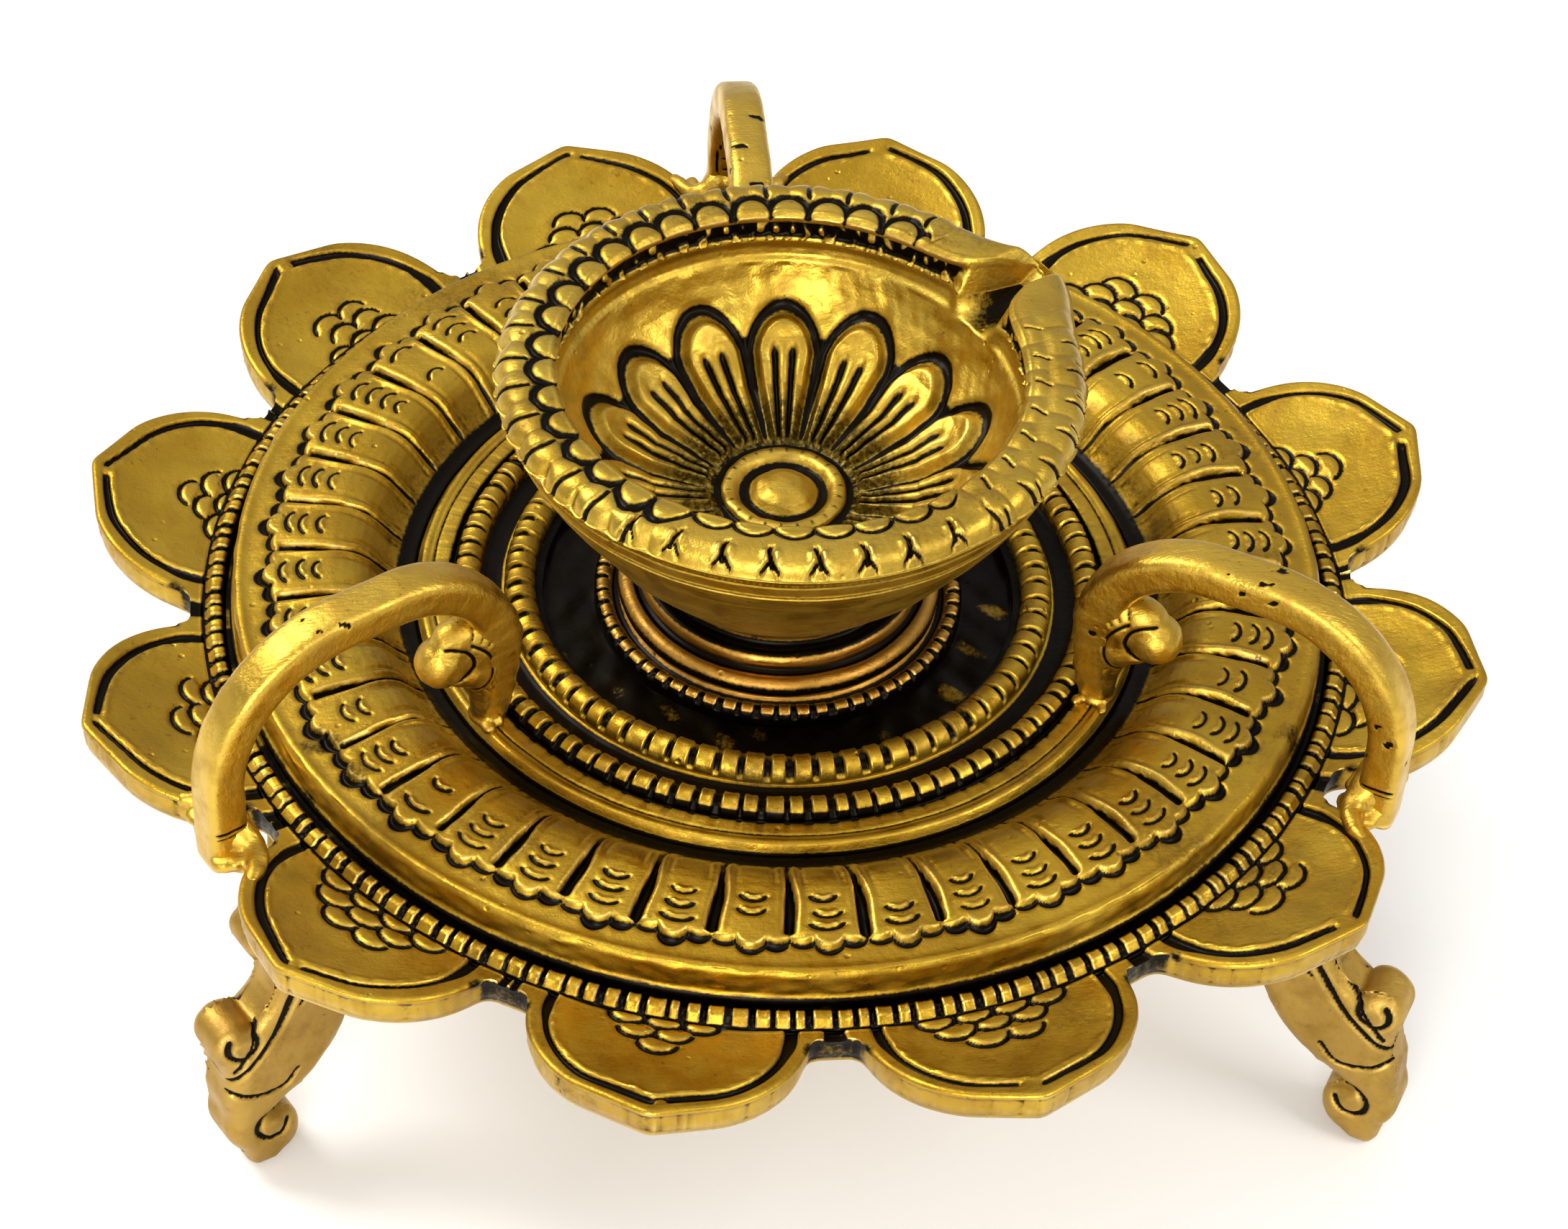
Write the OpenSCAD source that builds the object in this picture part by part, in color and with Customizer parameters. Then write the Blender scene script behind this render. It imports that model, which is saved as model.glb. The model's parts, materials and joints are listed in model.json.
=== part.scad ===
// Brass diya oil lamp. A lotus tray of twelve petals stands on three scroll
// legs and carries a fluted dish, three arched handles and, on a stepped
// pedestal, an oil bowl with a wick spout. The bowl is screwed on a stud
// through the centre, so it turns about +Z.
//
// Millimetres, +Z up. The origin is on the ground, under the bowl's axis.
// Heights inside the modules are measured from the deck, the top of the tray.
// Angles are counted from +X: one handle and one leg lie along +Y.

/* [Stance] */
// Height of the deck above the ground
deck_z = 60; // [54:1:66]
// Direction of the wick spout
spout_angle = 30; // [0:1:360]

/* [Lotus tray] */
// Radius of the circle through the petal tips
tip_r = 92.5; // [92:0.1:95]
// Radius at which neighbouring petals part
web_r = 76; // [75.5:0.1:77]
// Radius of a petal's rounded shoulders
shoulder_r = 15.3; // [14.8:0.1:15.6]
// Thickness of the petals
petal_thk = 4.6; // [4.2:0.1:5]
// Height of the petal tips above the deck
petal_rise = 4.8; // [3.5:0.1:5.5]

/* [Fluted dish] */
// Outer radius of the dish
dish_r = 71; // [70.5:0.1:71.2]
// Number of lobes around the dish
lobe_count = 44; // [40:1:48]
// Width of the groove between two lobes
flute_w = 1.3; // [0.8:0.1:1.6]

/* [Oil bowl] */
// Largest radius of the rim
rim_r = 36.8; // [36.5:0.1:38]
// Radius of the bowl's mouth
mouth_r = 28.8; // [28:0.1:30]
// How far the wick spout's lip stands from the axis
spout_r = 40.6; // [40:0.1:42]
// Width of the wick groove at the spout's lip
wick_w = 4.6; // [4:0.1:6]

/* [Handles] */
// Width of a handle's bar, along the circle
bar_w = 6.2; // [4.6:0.1:6.4]
// Thickness of a handle's bar, across its curve
bar_t = 5.6; // [4.4:0.1:5.6]
// Height of the top of the handle's centre line above the deck
arch_h = 28.7; // [28:0.1:31]
// How much lower the back handle's arch is than the other two
back_drop = 3; // [0:0.5:3]

/* [Legs] */
// Thickness of a leg, along the circle
leg_w = 8.4; // [6:0.2:10]
// How far the left leg splays out at its foot
left_splay = -3; // [-4:0.5:6]
// How far the right leg splays out at its foot
right_splay = 6; // [-4:0.5:6]

/* [Centre fastening] */
// Radius of the central stud
stud_r = 2.95; // [2.9:0.01:2.97]

/* [Hidden] */
$fn = 96;

antique = "#a8842c";
worn = "#c9a23a";
steel = "#b89a4a";

back_angle = 90;
left_angle = 210;
right_angle = 330;

petal_count = 12;
petal_step = 360 / petal_count;
shoulder_x = 75.5;          // centres of a petal's two shoulder arcs
shoulder_y = 1.5;
point_x = 89;               // where the shoulders turn into the pointed tip
point_y = 8.5;
root_r = 75;                // the petals start to rise here
seat_z = -0.8;              // the recess that the dish and pedestal sit in
plate_z = -4;               // underside of the plate inside the flange
flange_in_r = 64;
past = 1;                   // overshoot of a cutting or limiting shape

thread_r = 3;               // wall of the threaded holes for the stud
passage_r = 3.03;           // wall of the clear holes that the stud turns in
pedestal_z = 7.4;           // the bowl's neck rests on the pedestal here
neck_r = 16.2;
bowl_z = 39.6;              // crown of the rim
washer_t = 1.2;
spring_t = 1.5;
nut_t = 5;
nut_r = 10 / sqrt(3);       // corner radius of a nut 10 across its flats
washer_z = plate_z - washer_t;
spring_z = washer_z - spring_t;
nut_z = spring_z - nut_t;
stud_low_z = nut_z - 1.6;
stud_top_z = 13.4;

band_z = 1.65;              // flat ring of the dish that the handles stand on
post_r = 82.8;              // radius of a handle's outer post
tail_r = 43.6;              // radius of a handle's inner end
top_out_r = 64.6;           // the arch's crown is straight between these radii
top_in_r = 58;
arc_out = post_r - top_out_r;
arc_in = top_in_r - tail_r;

// Points along a circular arc, both ends included.
function arc_points(c, r, a0, a1, n = 8) =
    [for (i = [0:n]) let (a = a0 + (a1 - a0) * i / n) c + r * [cos(a), sin(a)]];

// Height of a petal's upper face at a radius.
function petal_top(r) = petal_rise * max(0, r - root_r) / (tip_r - root_r);

module at_deck() translate([0, 0, deck_z]) children();

// Stands a shape drawn in (radius, height) upright.
module upright_local() rotate([90, 0, 0]) children();
module upright(angle) at_deck() rotate([0, 0, angle]) upright_local() children();

module stud_hole(r) translate([0, 0, plate_z - past]) cylinder(r = r, h = pedestal_z - plate_z + 2 * past);

// ---- Lotus tray ----

module petal_outline(h) {
    for (side = [-1, 1])
        translate([shoulder_x, side * shoulder_y, 0]) cylinder(r = shoulder_r, h = h);
    linear_extrude(h)
        polygon([[web_r, point_y], [point_x, point_y], [tip_r, 0], [point_x, -point_y], [web_r, -point_y]]);
}

module tray_section() {
    out = tip_r + past;
    polygon(concat(
        [[0, plate_z], [flange_in_r, plate_z], [flange_in_r, -petal_thk], [root_r, -petal_thk]],
        [[out, petal_top(out) - petal_thk], [out, petal_top(out)], [root_r, 0], [74.4, -0.3]],
        [[74.1, 0], [73.7, 0.7], [72.1, 0.7], [71.7, 0], [71.7, seat_z], [0, seat_z]]
    ));
}

module lotus_tray() color(antique) at_deck() difference() {
    intersection() {
        rotate_extrude() tray_section();
        translate([0, 0, -10]) union() {
            cylinder(r = web_r, h = 20);
            for (i = [0:petal_count - 1]) rotate([0, 0, (i + 0.5) * petal_step]) petal_outline(20);
        }
    }
    stud_hole(passage_r);
}

// ---- Fluted dish ----

module dish_section() {
    polygon(concat(
        [[30.5, seat_z], [dish_r, seat_z], [dish_r, 1], [70.4, 1.3]],
        arc_points([69.6, 4.4], 1, -10, 110, 5),
        [[67.4, 5.1], [65.6, 5.3], [65.3, 6], [64.4, 6.4]],
        arc_points([57.6, -0.6], 7, 80, 160, 8),
        [[49.8, 1.3], [48.6, 0.5], [47.4, 0.5], [46.4, band_z], [42.8, band_z], [42.5, 0.8]],
        arc_points([40.4, 1.4], 1.7, -10, 190, 8),
        [[38.4, 0.8], [36, 0.8]],
        arc_points([33.6, 1.4], 2, -10, 190, 8),
        [[30.5, 0.6]]
    ));
}

// Groove between two lobes: a thin blade that follows the dish's crown and
// its steep inner slope, a little below the surface.
module flute() upright_local() translate([0, 0, -flute_w / 2]) linear_extrude(flute_w)
    polygon([[49.2, 1.1], [50.8, 1.2], [53.2, 4], [57.6, 5.7], [64.9, 5.7], [64.9, 8], [49.2, 8]]);

module fluted_dish() color(antique) at_deck() difference() {
    rotate_extrude() dish_section();
    for (i = [0:lobe_count - 1]) rotate([0, 0, (i + 0.5) * 360 / lobe_count]) flute();
}

// ---- Pedestal ----

module pedestal_section() {
    polygon(concat(
        [[0, seat_z], [24, seat_z]],
        arc_points([22.8, 0.3], 1.2, 0, 180, 6),
        [[21.2, 0.2]],
        arc_points([19.5, 2], 1.4, -50, 100, 6),
        [[17.8, 3.1]],
        arc_points([17.1, 4.5], 1.3, -50, 110, 6),
        [[neck_r - 0.4, 6.4], [neck_r - 0.4, pedestal_z], [0, pedestal_z]]
    ));
}

module pedestal() color(antique) at_deck() difference() {
    rotate_extrude() pedestal_section();
    stud_hole(passage_r);
}

// ---- Oil bowl ----

module bowl_outside() {
    polygon(concat(
        [[0, pedestal_z], [neck_r, pedestal_z], [17.6, 8.8], [20.6, 11.7], [25.6, 17.4], [31, 25.4]],
        [[34.4, 31], [rim_r - 1.3, 34.6], [rim_r - 0.6, 35.6]],
        arc_points([rim_r - 1.7, 37.2], 1.8, -20, 85, 5),
        [[32.4, bowl_z], [0, bowl_z]]
    ));
}

// The beak that carries the wick: a wedge of a wider, sloping rim.
module beak() intersection() {
    rotate_extrude() polygon([[20, 16], [31.8, 24.6], [spout_r - 4.6, 31.4], [spout_r - 1.4, 35.2],
                              [spout_r, 37.4], [spout_r - 0.6, 38.9], [spout_r - 2.2, 39.3], [20, 39.3]]);
    linear_extrude(bowl_z + past)
        polygon([[18, -15], [33, -14.4], [spout_r + past, -2.8], [spout_r + past, 2.8], [33, 14.4], [18, 15]]);
}

module bowl_inside() {
    polygon(concat(
        [[0, 18.7], [3, 18.5], [4.6, 18], [5.2, 17.3], [5.9, 17.3], [6.2, 18.2], [7.8, 18.2], [8.2, 17.6]],
        [[11.5, 18], [17.5, 20], [23, 23.7], [26.6, 27.8], [28.8, 32], [29.7, 35.6], [29.7, 36.6]],
        [[mouth_r, 37.3]],
        arc_points([mouth_r + 1.1, bowl_z - 1.1], 1.1, 180, 90, 4),
        [[mouth_r + 1.1, bowl_z + past], [0, bowl_z + past]]
    ));
}

module oil_bowl() color(worn) at_deck() difference() {
    union() {
        rotate_extrude() bowl_outside();
        rotate([0, 0, spout_angle]) beak();
    }
    rotate_extrude() bowl_inside();
    rotate([0, 0, spout_angle]) translate([0, 0, 34.6]) linear_extrude(6)
        polygon([[25, -7.5], [spout_r + 2 * past, -wick_w / 2], [spout_r + 2 * past, wick_w / 2], [25, 7.5]]);
    translate([0, 0, pedestal_z - past]) cylinder(r = thread_r, h = stud_top_z - pedestal_z + 2 * past);
}

// ---- Centre fastening ----

module centre_stud() color(steel) at_deck() translate([0, 0, stud_low_z])
    cylinder(r = stud_r, h = stud_top_z - stud_low_z);

module flat_washer() color(steel) at_deck() translate([0, 0, washer_z]) difference() {
    cylinder(r = 6.2, h = washer_t);
    translate([0, 0, -past]) cylinder(r = 3.2, h = washer_t + 2 * past);
}

module spring_washer() color(steel) at_deck() translate([0, 0, spring_z]) difference() {
    cylinder(r = 5.4, h = spring_t);
    translate([0, 0, -past]) cylinder(r = 3.1, h = spring_t + 2 * past);
    translate([2, -0.5, -past]) cube([6, 1, spring_t + 2 * past]);
}

module clamp_nut() color(steel) at_deck() translate([0, 0, nut_z]) difference() {
    cylinder(r = nut_r, h = nut_t, $fn = 6);
    translate([0, 0, -past]) cylinder(r = thread_r, h = nut_t + 2 * past);
}

// ---- Handles ----

// Section of the bar: a rectangle with cut corners.
module bar_section() {
    x = bar_t / 2;
    y = bar_w / 2;
    cut = 1.3;
    polygon([[x - cut, -y], [x, cut - y], [x, y - cut], [x - cut, y],
             [cut - x, y], [-x, y - cut], [-x, cut - y], [cut - x, -y]]);
}

module bar_arc(c, r, a0, a1) translate([c.x, c.y, 0]) rotate([0, 0, a0])
    rotate_extrude(angle = a1 - a0) translate([r, 0]) bar_section();

module bar_straight(p, q) {
    run = q - p;
    translate([p.x, p.y, 0]) rotate([0, 0, atan2(run.y, run.x) - 90]) rotate([-90, 0, 0])
        linear_extrude(norm(run)) bar_section();
}

module arch(top) {
    low = top - arc_out;
    bar_straight([post_r, -2.4], [post_r, low]);
    bar_arc([top_out_r, low], arc_out, 0, 90);
    bar_straight([top_out_r, top], [top_in_r, top]);
    bar_arc([top_in_r, top - arc_in], arc_in, 90, 180);
    translate([0, 0, -bar_w / 2]) linear_extrude(bar_w)
        polygon([[tail_r - bar_t / 2, top - arc_in], [tail_r + bar_t / 2, top - arc_in],
                 [45.9, band_z], [43, band_z]]);
}

// The curled bud under the inner end of the arch.
module bud() {
    translate([47.4, 12.8, 0]) sphere(r = 3.6, $fn = 48);
    translate([51.4, 14.2, 0]) sphere(r = 3, $fn = 48);
}

// Two toes that lie on the petals either side of the post.
module toes() intersection() {
    rotate_extrude() polygon([for (p = [[78, 0.05], [91, 0.05], [91, 2.3], [78, 2.3]]) [p.x, petal_top(p.x) + p.y]]);
    translate([0, 0, -1]) for (side = [-1, 1]) {
        translate([81.5, side * 1.6, 0]) rotate([0, 0, side * 66]) translate([0, -2, 0]) cube([11, 4, 10]);
        translate([81.5, side * 1.6, 0]) rotate([0, 0, side * 66]) translate([11, 0, 0]) cylinder(r = 2, h = 10);
    }
}

module handle(angle, top) color(worn) {
    upright(angle) {
        arch(top);
        bud();
    }
    at_deck() rotate([0, 0, angle]) {
        toes();
        translate([web_r + 0.15, -2.5, -3.6]) cube([8, 5, 5]);
    }
}

module handle_back() handle(back_angle, arch_h - back_drop);
module handle_left() handle(left_angle, arch_h);
module handle_right() handle(right_angle, arch_h);

// ---- Legs ----

// Outline of a leg in (radius, height above the ground), from the pad under
// the tray down its outer side to the foot and back up its inner side.
function leg_outline(pad_z) =
    concat(
        [[73.8, pad_z], [76.4, pad_z - 3.4], [79.4, pad_z - 8]],
        arc_points([79.7, 41.6], 2.6, 60, -70, 6),
        arc_points([86.2, 34], 7, 150, 232, 7),
        arc_points([85.7, 25.4], 3.5, 140, -30, 9),
        [[88.2, 21.4], [87.8, 19], [88.7, 15]],
        arc_points([82.2, 9], 6.8, 20, -42, 5),
        [[86.4, 1.2], [85.6, 0], [82.6, 0]],
        arc_points([83.2, 5.4], 4.7, 245, 100, 9),
        [[79.6, 11.8], [77.2, 12.8]],
        arc_points([86.6, 28], 17.6, 237, 165, 8),
        [[70.6, 40], [69.6, 47], [65.4, pad_z]]
    );

// A leg whose foot stands out from the foot circle by its splay.
module leg(angle, splay) color(antique) {
    pad_z = deck_z - petal_thk;
    outline = [for (p = leg_outline(pad_z)) [p.x + splay * (1 - p.y / pad_z), p.y]];
    rotate([0, 0, angle]) rotate([90, 0, 0])
        translate([0, 0, -leg_w / 2]) linear_extrude(leg_w) polygon(outline);
}

module leg_back() leg(back_angle, 0);
module leg_left() leg(left_angle, left_splay);
module leg_right() leg(right_angle, right_splay);

lotus_tray();
fluted_dish();
pedestal();
oil_bowl();
centre_stud();
flat_washer();
spring_washer();
clamp_nut();
handle_back();
handle_left();
handle_right();
leg_back();
leg_left();
leg_right();
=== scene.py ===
import json
import math

import bmesh
import bpy
import numpy as np
from mathutils import Matrix, Vector


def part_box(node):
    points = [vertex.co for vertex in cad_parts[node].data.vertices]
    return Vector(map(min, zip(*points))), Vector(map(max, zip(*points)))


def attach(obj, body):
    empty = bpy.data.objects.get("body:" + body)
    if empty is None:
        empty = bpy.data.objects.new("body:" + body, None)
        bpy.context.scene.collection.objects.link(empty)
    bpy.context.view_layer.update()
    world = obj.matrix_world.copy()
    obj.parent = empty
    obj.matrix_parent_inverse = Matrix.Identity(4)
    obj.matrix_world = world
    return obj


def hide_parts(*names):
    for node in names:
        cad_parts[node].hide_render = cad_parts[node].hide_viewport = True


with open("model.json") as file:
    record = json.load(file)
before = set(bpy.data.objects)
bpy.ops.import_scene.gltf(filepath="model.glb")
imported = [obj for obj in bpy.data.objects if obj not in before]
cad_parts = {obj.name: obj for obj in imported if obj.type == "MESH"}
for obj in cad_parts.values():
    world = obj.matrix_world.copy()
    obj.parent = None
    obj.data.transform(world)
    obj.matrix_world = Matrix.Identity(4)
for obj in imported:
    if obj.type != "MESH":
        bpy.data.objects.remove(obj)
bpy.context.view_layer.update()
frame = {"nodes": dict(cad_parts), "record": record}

# A cast brass oil lamp. Shapes are worked out in millimetres, in the frame of
# the CAD model, and heights in this script are counted from the deck, the top
# of the tray. Angles are counted from +X towards +Y.

MM = 0.001
PETALS = 12
LOBES = 44
RIM_SCALES = 38
BOWL_TONGUES = 14
TWO_PI = 2 * math.pi
ARM_DEG = {"back": 90, "left": 210, "right": 330}


def low_mm(node):
    return np.array(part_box(node)[0]) / MM


def high_mm(node):
    return np.array(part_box(node)[1]) / MM


# Places that the frame doesn't state repeat the values of part.scad.
SEAT = -0.8                     # floor of the recess that the dish sits in
DECK = low_mm("fluted_dish")[2] - SEAT
HALF_PITCH = math.pi / PETALS
TIP_R = high_mm("lotus_tray")[0] / math.cos(HALF_PITCH)
PETAL_RISE = high_mm("lotus_tray")[2] - DECK
PETAL_THICK = 4.6
PAD_Z = DECK - PETAL_THICK      # top of the legs, above the ground
ROOT_R = 75                     # where the petals leave the flat plate
PLATE_Z = high_mm("flat_washer")[2] - DECK      # underside of the tray inside its flange
DISH_R = high_mm("fluted_dish")[0]
HOLE_R = 3.05                   # hole for the stud in the tray and pedestal
NECK_Z = low_mm("oil_bowl")[2] - DECK
BOWL_Z = high_mm("oil_bowl")[2] - DECK
RIM_R = -low_mm("oil_bowl")[0]
SPOUT_REACH = 3.8
SPOUT_DEG = 30
MOUTH_R = RIM_R - 8
FOOT_R = 84.1                   # nominal circle of the feet
POST_R = 82.8                   # circle of the handles' outer ends
LEG_HALF = high_mm("leg_back")[0]
BAR_HALF_W = 3.1                # a handle node's box also holds its claws, so the
BAR_HALF_T = 2.8                # bar's half width and half thickness stand here


# ---- Small mathematics ----

def ramp(x, low, high):
    """Smooth step from 0 at low to 1 at high."""
    t = np.clip((x - low) / (high - low), 0, 1)
    return t * t * (3 - 2 * t)


def ridge(x, width):
    """Bell curve, 1 at x = 0."""
    return np.exp(-(x / width) ** 2)


def fraction(x):
    """Signed distance of x to the nearest whole number."""
    return x - np.round(x)


def wobble(points, size, seed, waves=9):
    """Smooth irregular field of about -1 to 1, with bumps about size across."""
    rng = np.random.default_rng(seed)
    total = np.zeros(points.shape[:-1])
    for _ in range(waves):
        direction = rng.normal(size=3)
        direction *= TWO_PI / size * rng.uniform(0.35, 1.0) / np.linalg.norm(direction)
        total += np.sin(points @ direction + rng.uniform(0, TWO_PI))
    return total / math.sqrt(waves)


def per_item(count, low, high, seed):
    """One random value for each of count repeated features."""
    return np.random.default_rng(seed).uniform(low, high, count)


def arc(centre, radius, start, end, count):
    """Points on an arc, in degrees, both ends included."""
    a = np.radians(np.linspace(start, end, count))
    return np.stack([centre[0] + radius * np.cos(a), centre[1] + radius * np.sin(a)], -1)


def ring_points(r, z, angle):
    """Points at a radius, a height and an angle, which are spread to one grid."""
    return np.stack(np.broadcast_arrays(r * np.cos(angle), r * np.sin(angle), z + 0 * angle), -1)


def resample(line, step):
    """The polyline with points about step apart, its own corners kept."""
    line = np.asarray(line, float)
    out = [line[0]]
    for a, b in zip(line[:-1], line[1:]):
        count = max(1, int(round(np.linalg.norm(b - a) / step)))
        for i in range(1, count + 1):
            out.append(a + (b - a) * i / count)
    return np.array(out)


def along(line):
    """Distance from the start of a polyline to each of its points."""
    return np.concatenate([[0], np.cumsum(np.linalg.norm(np.diff(line, axis=0), axis=-1))])


def distance_to(points, line):
    """Distance from each point to the nearest place on a polyline, in its plane."""
    flat = points.reshape(-1, 2)
    best = np.full(len(flat), 1e9)
    for a, b in zip(line[:-1], line[1:]):
        run = b - a
        t = np.clip(((flat - a) @ run) / max(run @ run, 1e-12), 0, 1)
        best = np.minimum(best, np.linalg.norm(flat - a - t[:, None] * run, axis=1))
    return best.reshape(points.shape[:-1])


# ---- Meshes ----

def quads_between(rows, cols, close_rows):
    """Faces of a grid of rows by cols points whose columns run round in a ring."""
    last = rows if close_rows else rows - 1
    r = np.arange(last)[:, None]
    c = np.arange(cols)[None, :]
    r2 = (r + 1) % rows
    c2 = (c + 1) % cols
    return np.stack([r * cols + c, r * cols + c2, r2 * cols + c2, r2 * cols + c], -1).reshape(-1, 4)


def facing_out(points, faces):
    """The faces of a closed mesh, turned round if they face inwards."""
    first = points[faces[:, 0]]
    volume = 0
    for i in range(1, faces.shape[1] - 1):
        second, third = points[faces[:, i]], points[faces[:, i + 1]]
        volume += np.sum(np.cross(second - first, third - first) * first)
    return faces if volume > 0 else faces[:, ::-1]


def edges_of(quads):
    return np.unique(np.sort(np.concatenate([quads[:, [0, 1]], quads[:, [1, 2]]]), axis=1), axis=0)


def relaxed(points, edges, rounds, share=0.55):
    """The points after rounds of being drawn towards the mean of their neighbours."""
    a, b = edges.T
    count = len(points)
    degree = np.maximum(np.bincount(a, minlength=count) + np.bincount(b, minlength=count), 1)
    for _ in range(rounds):
        total = np.stack([
            np.bincount(a, points[b, k], count) + np.bincount(b, points[a, k], count) for k in range(3)
        ], -1)
        points = (1 - share) * points + share * total / degree[:, None]
    return points


def mesh_values(items, key, size, kind=float):
    """One property of a mesh's vertices or edges as an array with size values in a row."""
    values = np.empty(len(items) * size, kind)
    items.foreach_get(key, values)
    return values.reshape(-1, size)


def cavity(mesh, reach):
    """How far each vertex lies below its surroundings, in mm: positive in a groove."""
    co = mesh_values(mesh.vertices, "co", 3) / MM
    soft = relaxed(co, mesh_values(mesh.edges, "vertices", 2, np.int64), reach, 0.5)
    return np.sum((soft - co) * mesh_values(mesh.vertices, "normal", 3), axis=1)


def add_mesh(name, points, faces, patina, heat=0, reach=6, gain=2.5):
    """A closed mesh from points in mm (heights from the deck) and quads or triangles.

    Its patina layer is black oxide, 0 to 1, and in a few places painted shade:
    what the caller gives plus what gathers in the grooves. Its wear layer is 1
    on edges that hands rub bright, and its heat layer is 1 where brazing has
    reddened the brass.
    """
    placed = (np.asarray(points, float) + [0, 0, DECK]) * MM
    mesh = bpy.data.meshes.new(name)
    size = faces.shape[1]
    mesh.vertices.add(len(placed))
    mesh.vertices.foreach_set("co", placed.astype(np.float32).ravel())
    mesh.loops.add(faces.size)
    mesh.loops.foreach_set("vertex_index", faces.astype(np.int32).ravel())
    mesh.polygons.add(len(faces))
    mesh.polygons.foreach_set("loop_start", np.arange(0, faces.size, size, dtype=np.int32))
    mesh.update(calc_edges=True)
    mesh.shade_smooth()
    hollow = cavity(mesh, reach)
    dark = np.clip(np.ravel(patina) + gain * np.maximum(hollow - 0.03, 0), 0, 1)
    wear = np.clip(-3.5 * hollow - 0.08, 0, 1)
    hot = np.broadcast_to(np.ravel(heat), hollow.shape)
    for layer, values in (("patina", dark), ("wear", wear), ("heat", hot)):
        attribute = mesh.attributes.new(layer, "FLOAT", "POINT")
        attribute.data.foreach_set("value", values.astype(np.float32))
    piece = bpy.data.objects.new(name, mesh)
    bpy.context.scene.collection.objects.link(piece)
    return piece


def add_ring(name, radius, height, angle, patina, **options):
    """A closed ring whose radius and height, in rows by columns, may vary with the angle."""
    points = ring_points(radius, height, angle).reshape(-1, 3)
    faces = quads_between(*radius.shape, True)
    return add_mesh(name, points, facing_out(points, faces), patina, **options)


def add_capped(name, points, centres, patina, heat, **options):
    """A tube of points in rows by columns, closed at each end by a fan to a centre.

    patina and heat give a value for each point and then for the two centres.
    """
    rows, cols = points.shape[:2]
    quads = quads_between(rows, cols, False)
    ring = np.arange(cols)
    ahead = (ring + 1) % cols
    top = (rows - 1) * cols
    first_fan = np.stack([ahead, ring, np.full(cols, rows * cols)], -1)
    last_fan = np.stack([top + ring, top + ahead, np.full(cols, rows * cols + 1)], -1)
    triangles = np.vstack([quads[:, [0, 1, 2]], quads[:, [0, 2, 3]], first_fan, last_fan])
    points = np.vstack([points.reshape(-1, 3), centres])
    return add_mesh(name, points, facing_out(points, triangles), patina, heat, **options)


def place(piece, body, slot, material, *nodes):
    """Rides a piece on its body, with its material, in place of CAD nodes."""
    piece.data.materials.append(material)
    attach(piece, body)
    if nodes:
        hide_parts(*nodes)


# ---- Brass ----

UMBER = (0.25, 0.14, 0.014)
GRIME = (0.13, 0.072, 0.012)
STAIN = (0.13, 0.07, 0.014)
BURNISHED = (0.86, 0.60, 0.17)
COPPER = (0.60, 0.25, 0.07)
PIT = (0.07, 0.036, 0.008)
OXIDE = (0.005, 0.003, 0.001)


def node_maker(tree):
    def add(kind, **values):
        node = tree.nodes.new(kind)
        for key, value in values.items():
            setattr(node, key, value)
        return node
    return add


def pattern_tools(add, link):
    """The object's coordinates, and functions that add the nodes of its pattern."""
    where = add("ShaderNodeTexCoord").outputs["Object"]

    def noise(scale, detail=4.0, stretch=None, roughness=0.55):
        source = where
        if stretch:
            mapping = add("ShaderNodeMapping")
            mapping.inputs["Scale"].default_value = stretch
            link(where, mapping.inputs["Vector"])
            source = mapping.outputs["Vector"]
        node = add("ShaderNodeTexNoise")
        node.inputs["Scale"].default_value = scale
        node.inputs["Detail"].default_value = detail
        node.inputs["Roughness"].default_value = roughness
        link(source, node.inputs["Vector"])
        return node.outputs["Fac"]

    def maths(operation, *values, clamp=False):
        node = add("ShaderNodeMath", operation=operation, use_clamp=clamp)
        for socket, value in zip(node.inputs, values):
            if isinstance(value, (int, float)):
                socket.default_value = value
            else:
                link(value, socket)
        return node.outputs[0]

    def scaled(value, low, high, to_low=0.0, to_high=1.0):
        node = add("ShaderNodeMapRange", interpolation_type="SMOOTHSTEP")
        link(value, node.inputs["Value"])
        for key, number in zip(("From Min", "From Max", "To Min", "To Max"), (low, high, to_low, to_high)):
            node.inputs[key].default_value = number
        return node.outputs["Result"]

    def mix(factor, a, b):
        node = add("ShaderNodeMix", data_type="RGBA")
        link(factor, node.inputs[0])
        for socket, value in ((node.inputs[6], a), (node.inputs[7], b)):
            if isinstance(value, tuple):
                socket.default_value = (*value, 1)
            else:
                link(value, socket)
        return node.outputs[2]

    def layer(key):
        return add("ShaderNodeAttribute", attribute_name=key).outputs["Fac"]

    return where, noise, maths, scaled, mix, layer


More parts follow.
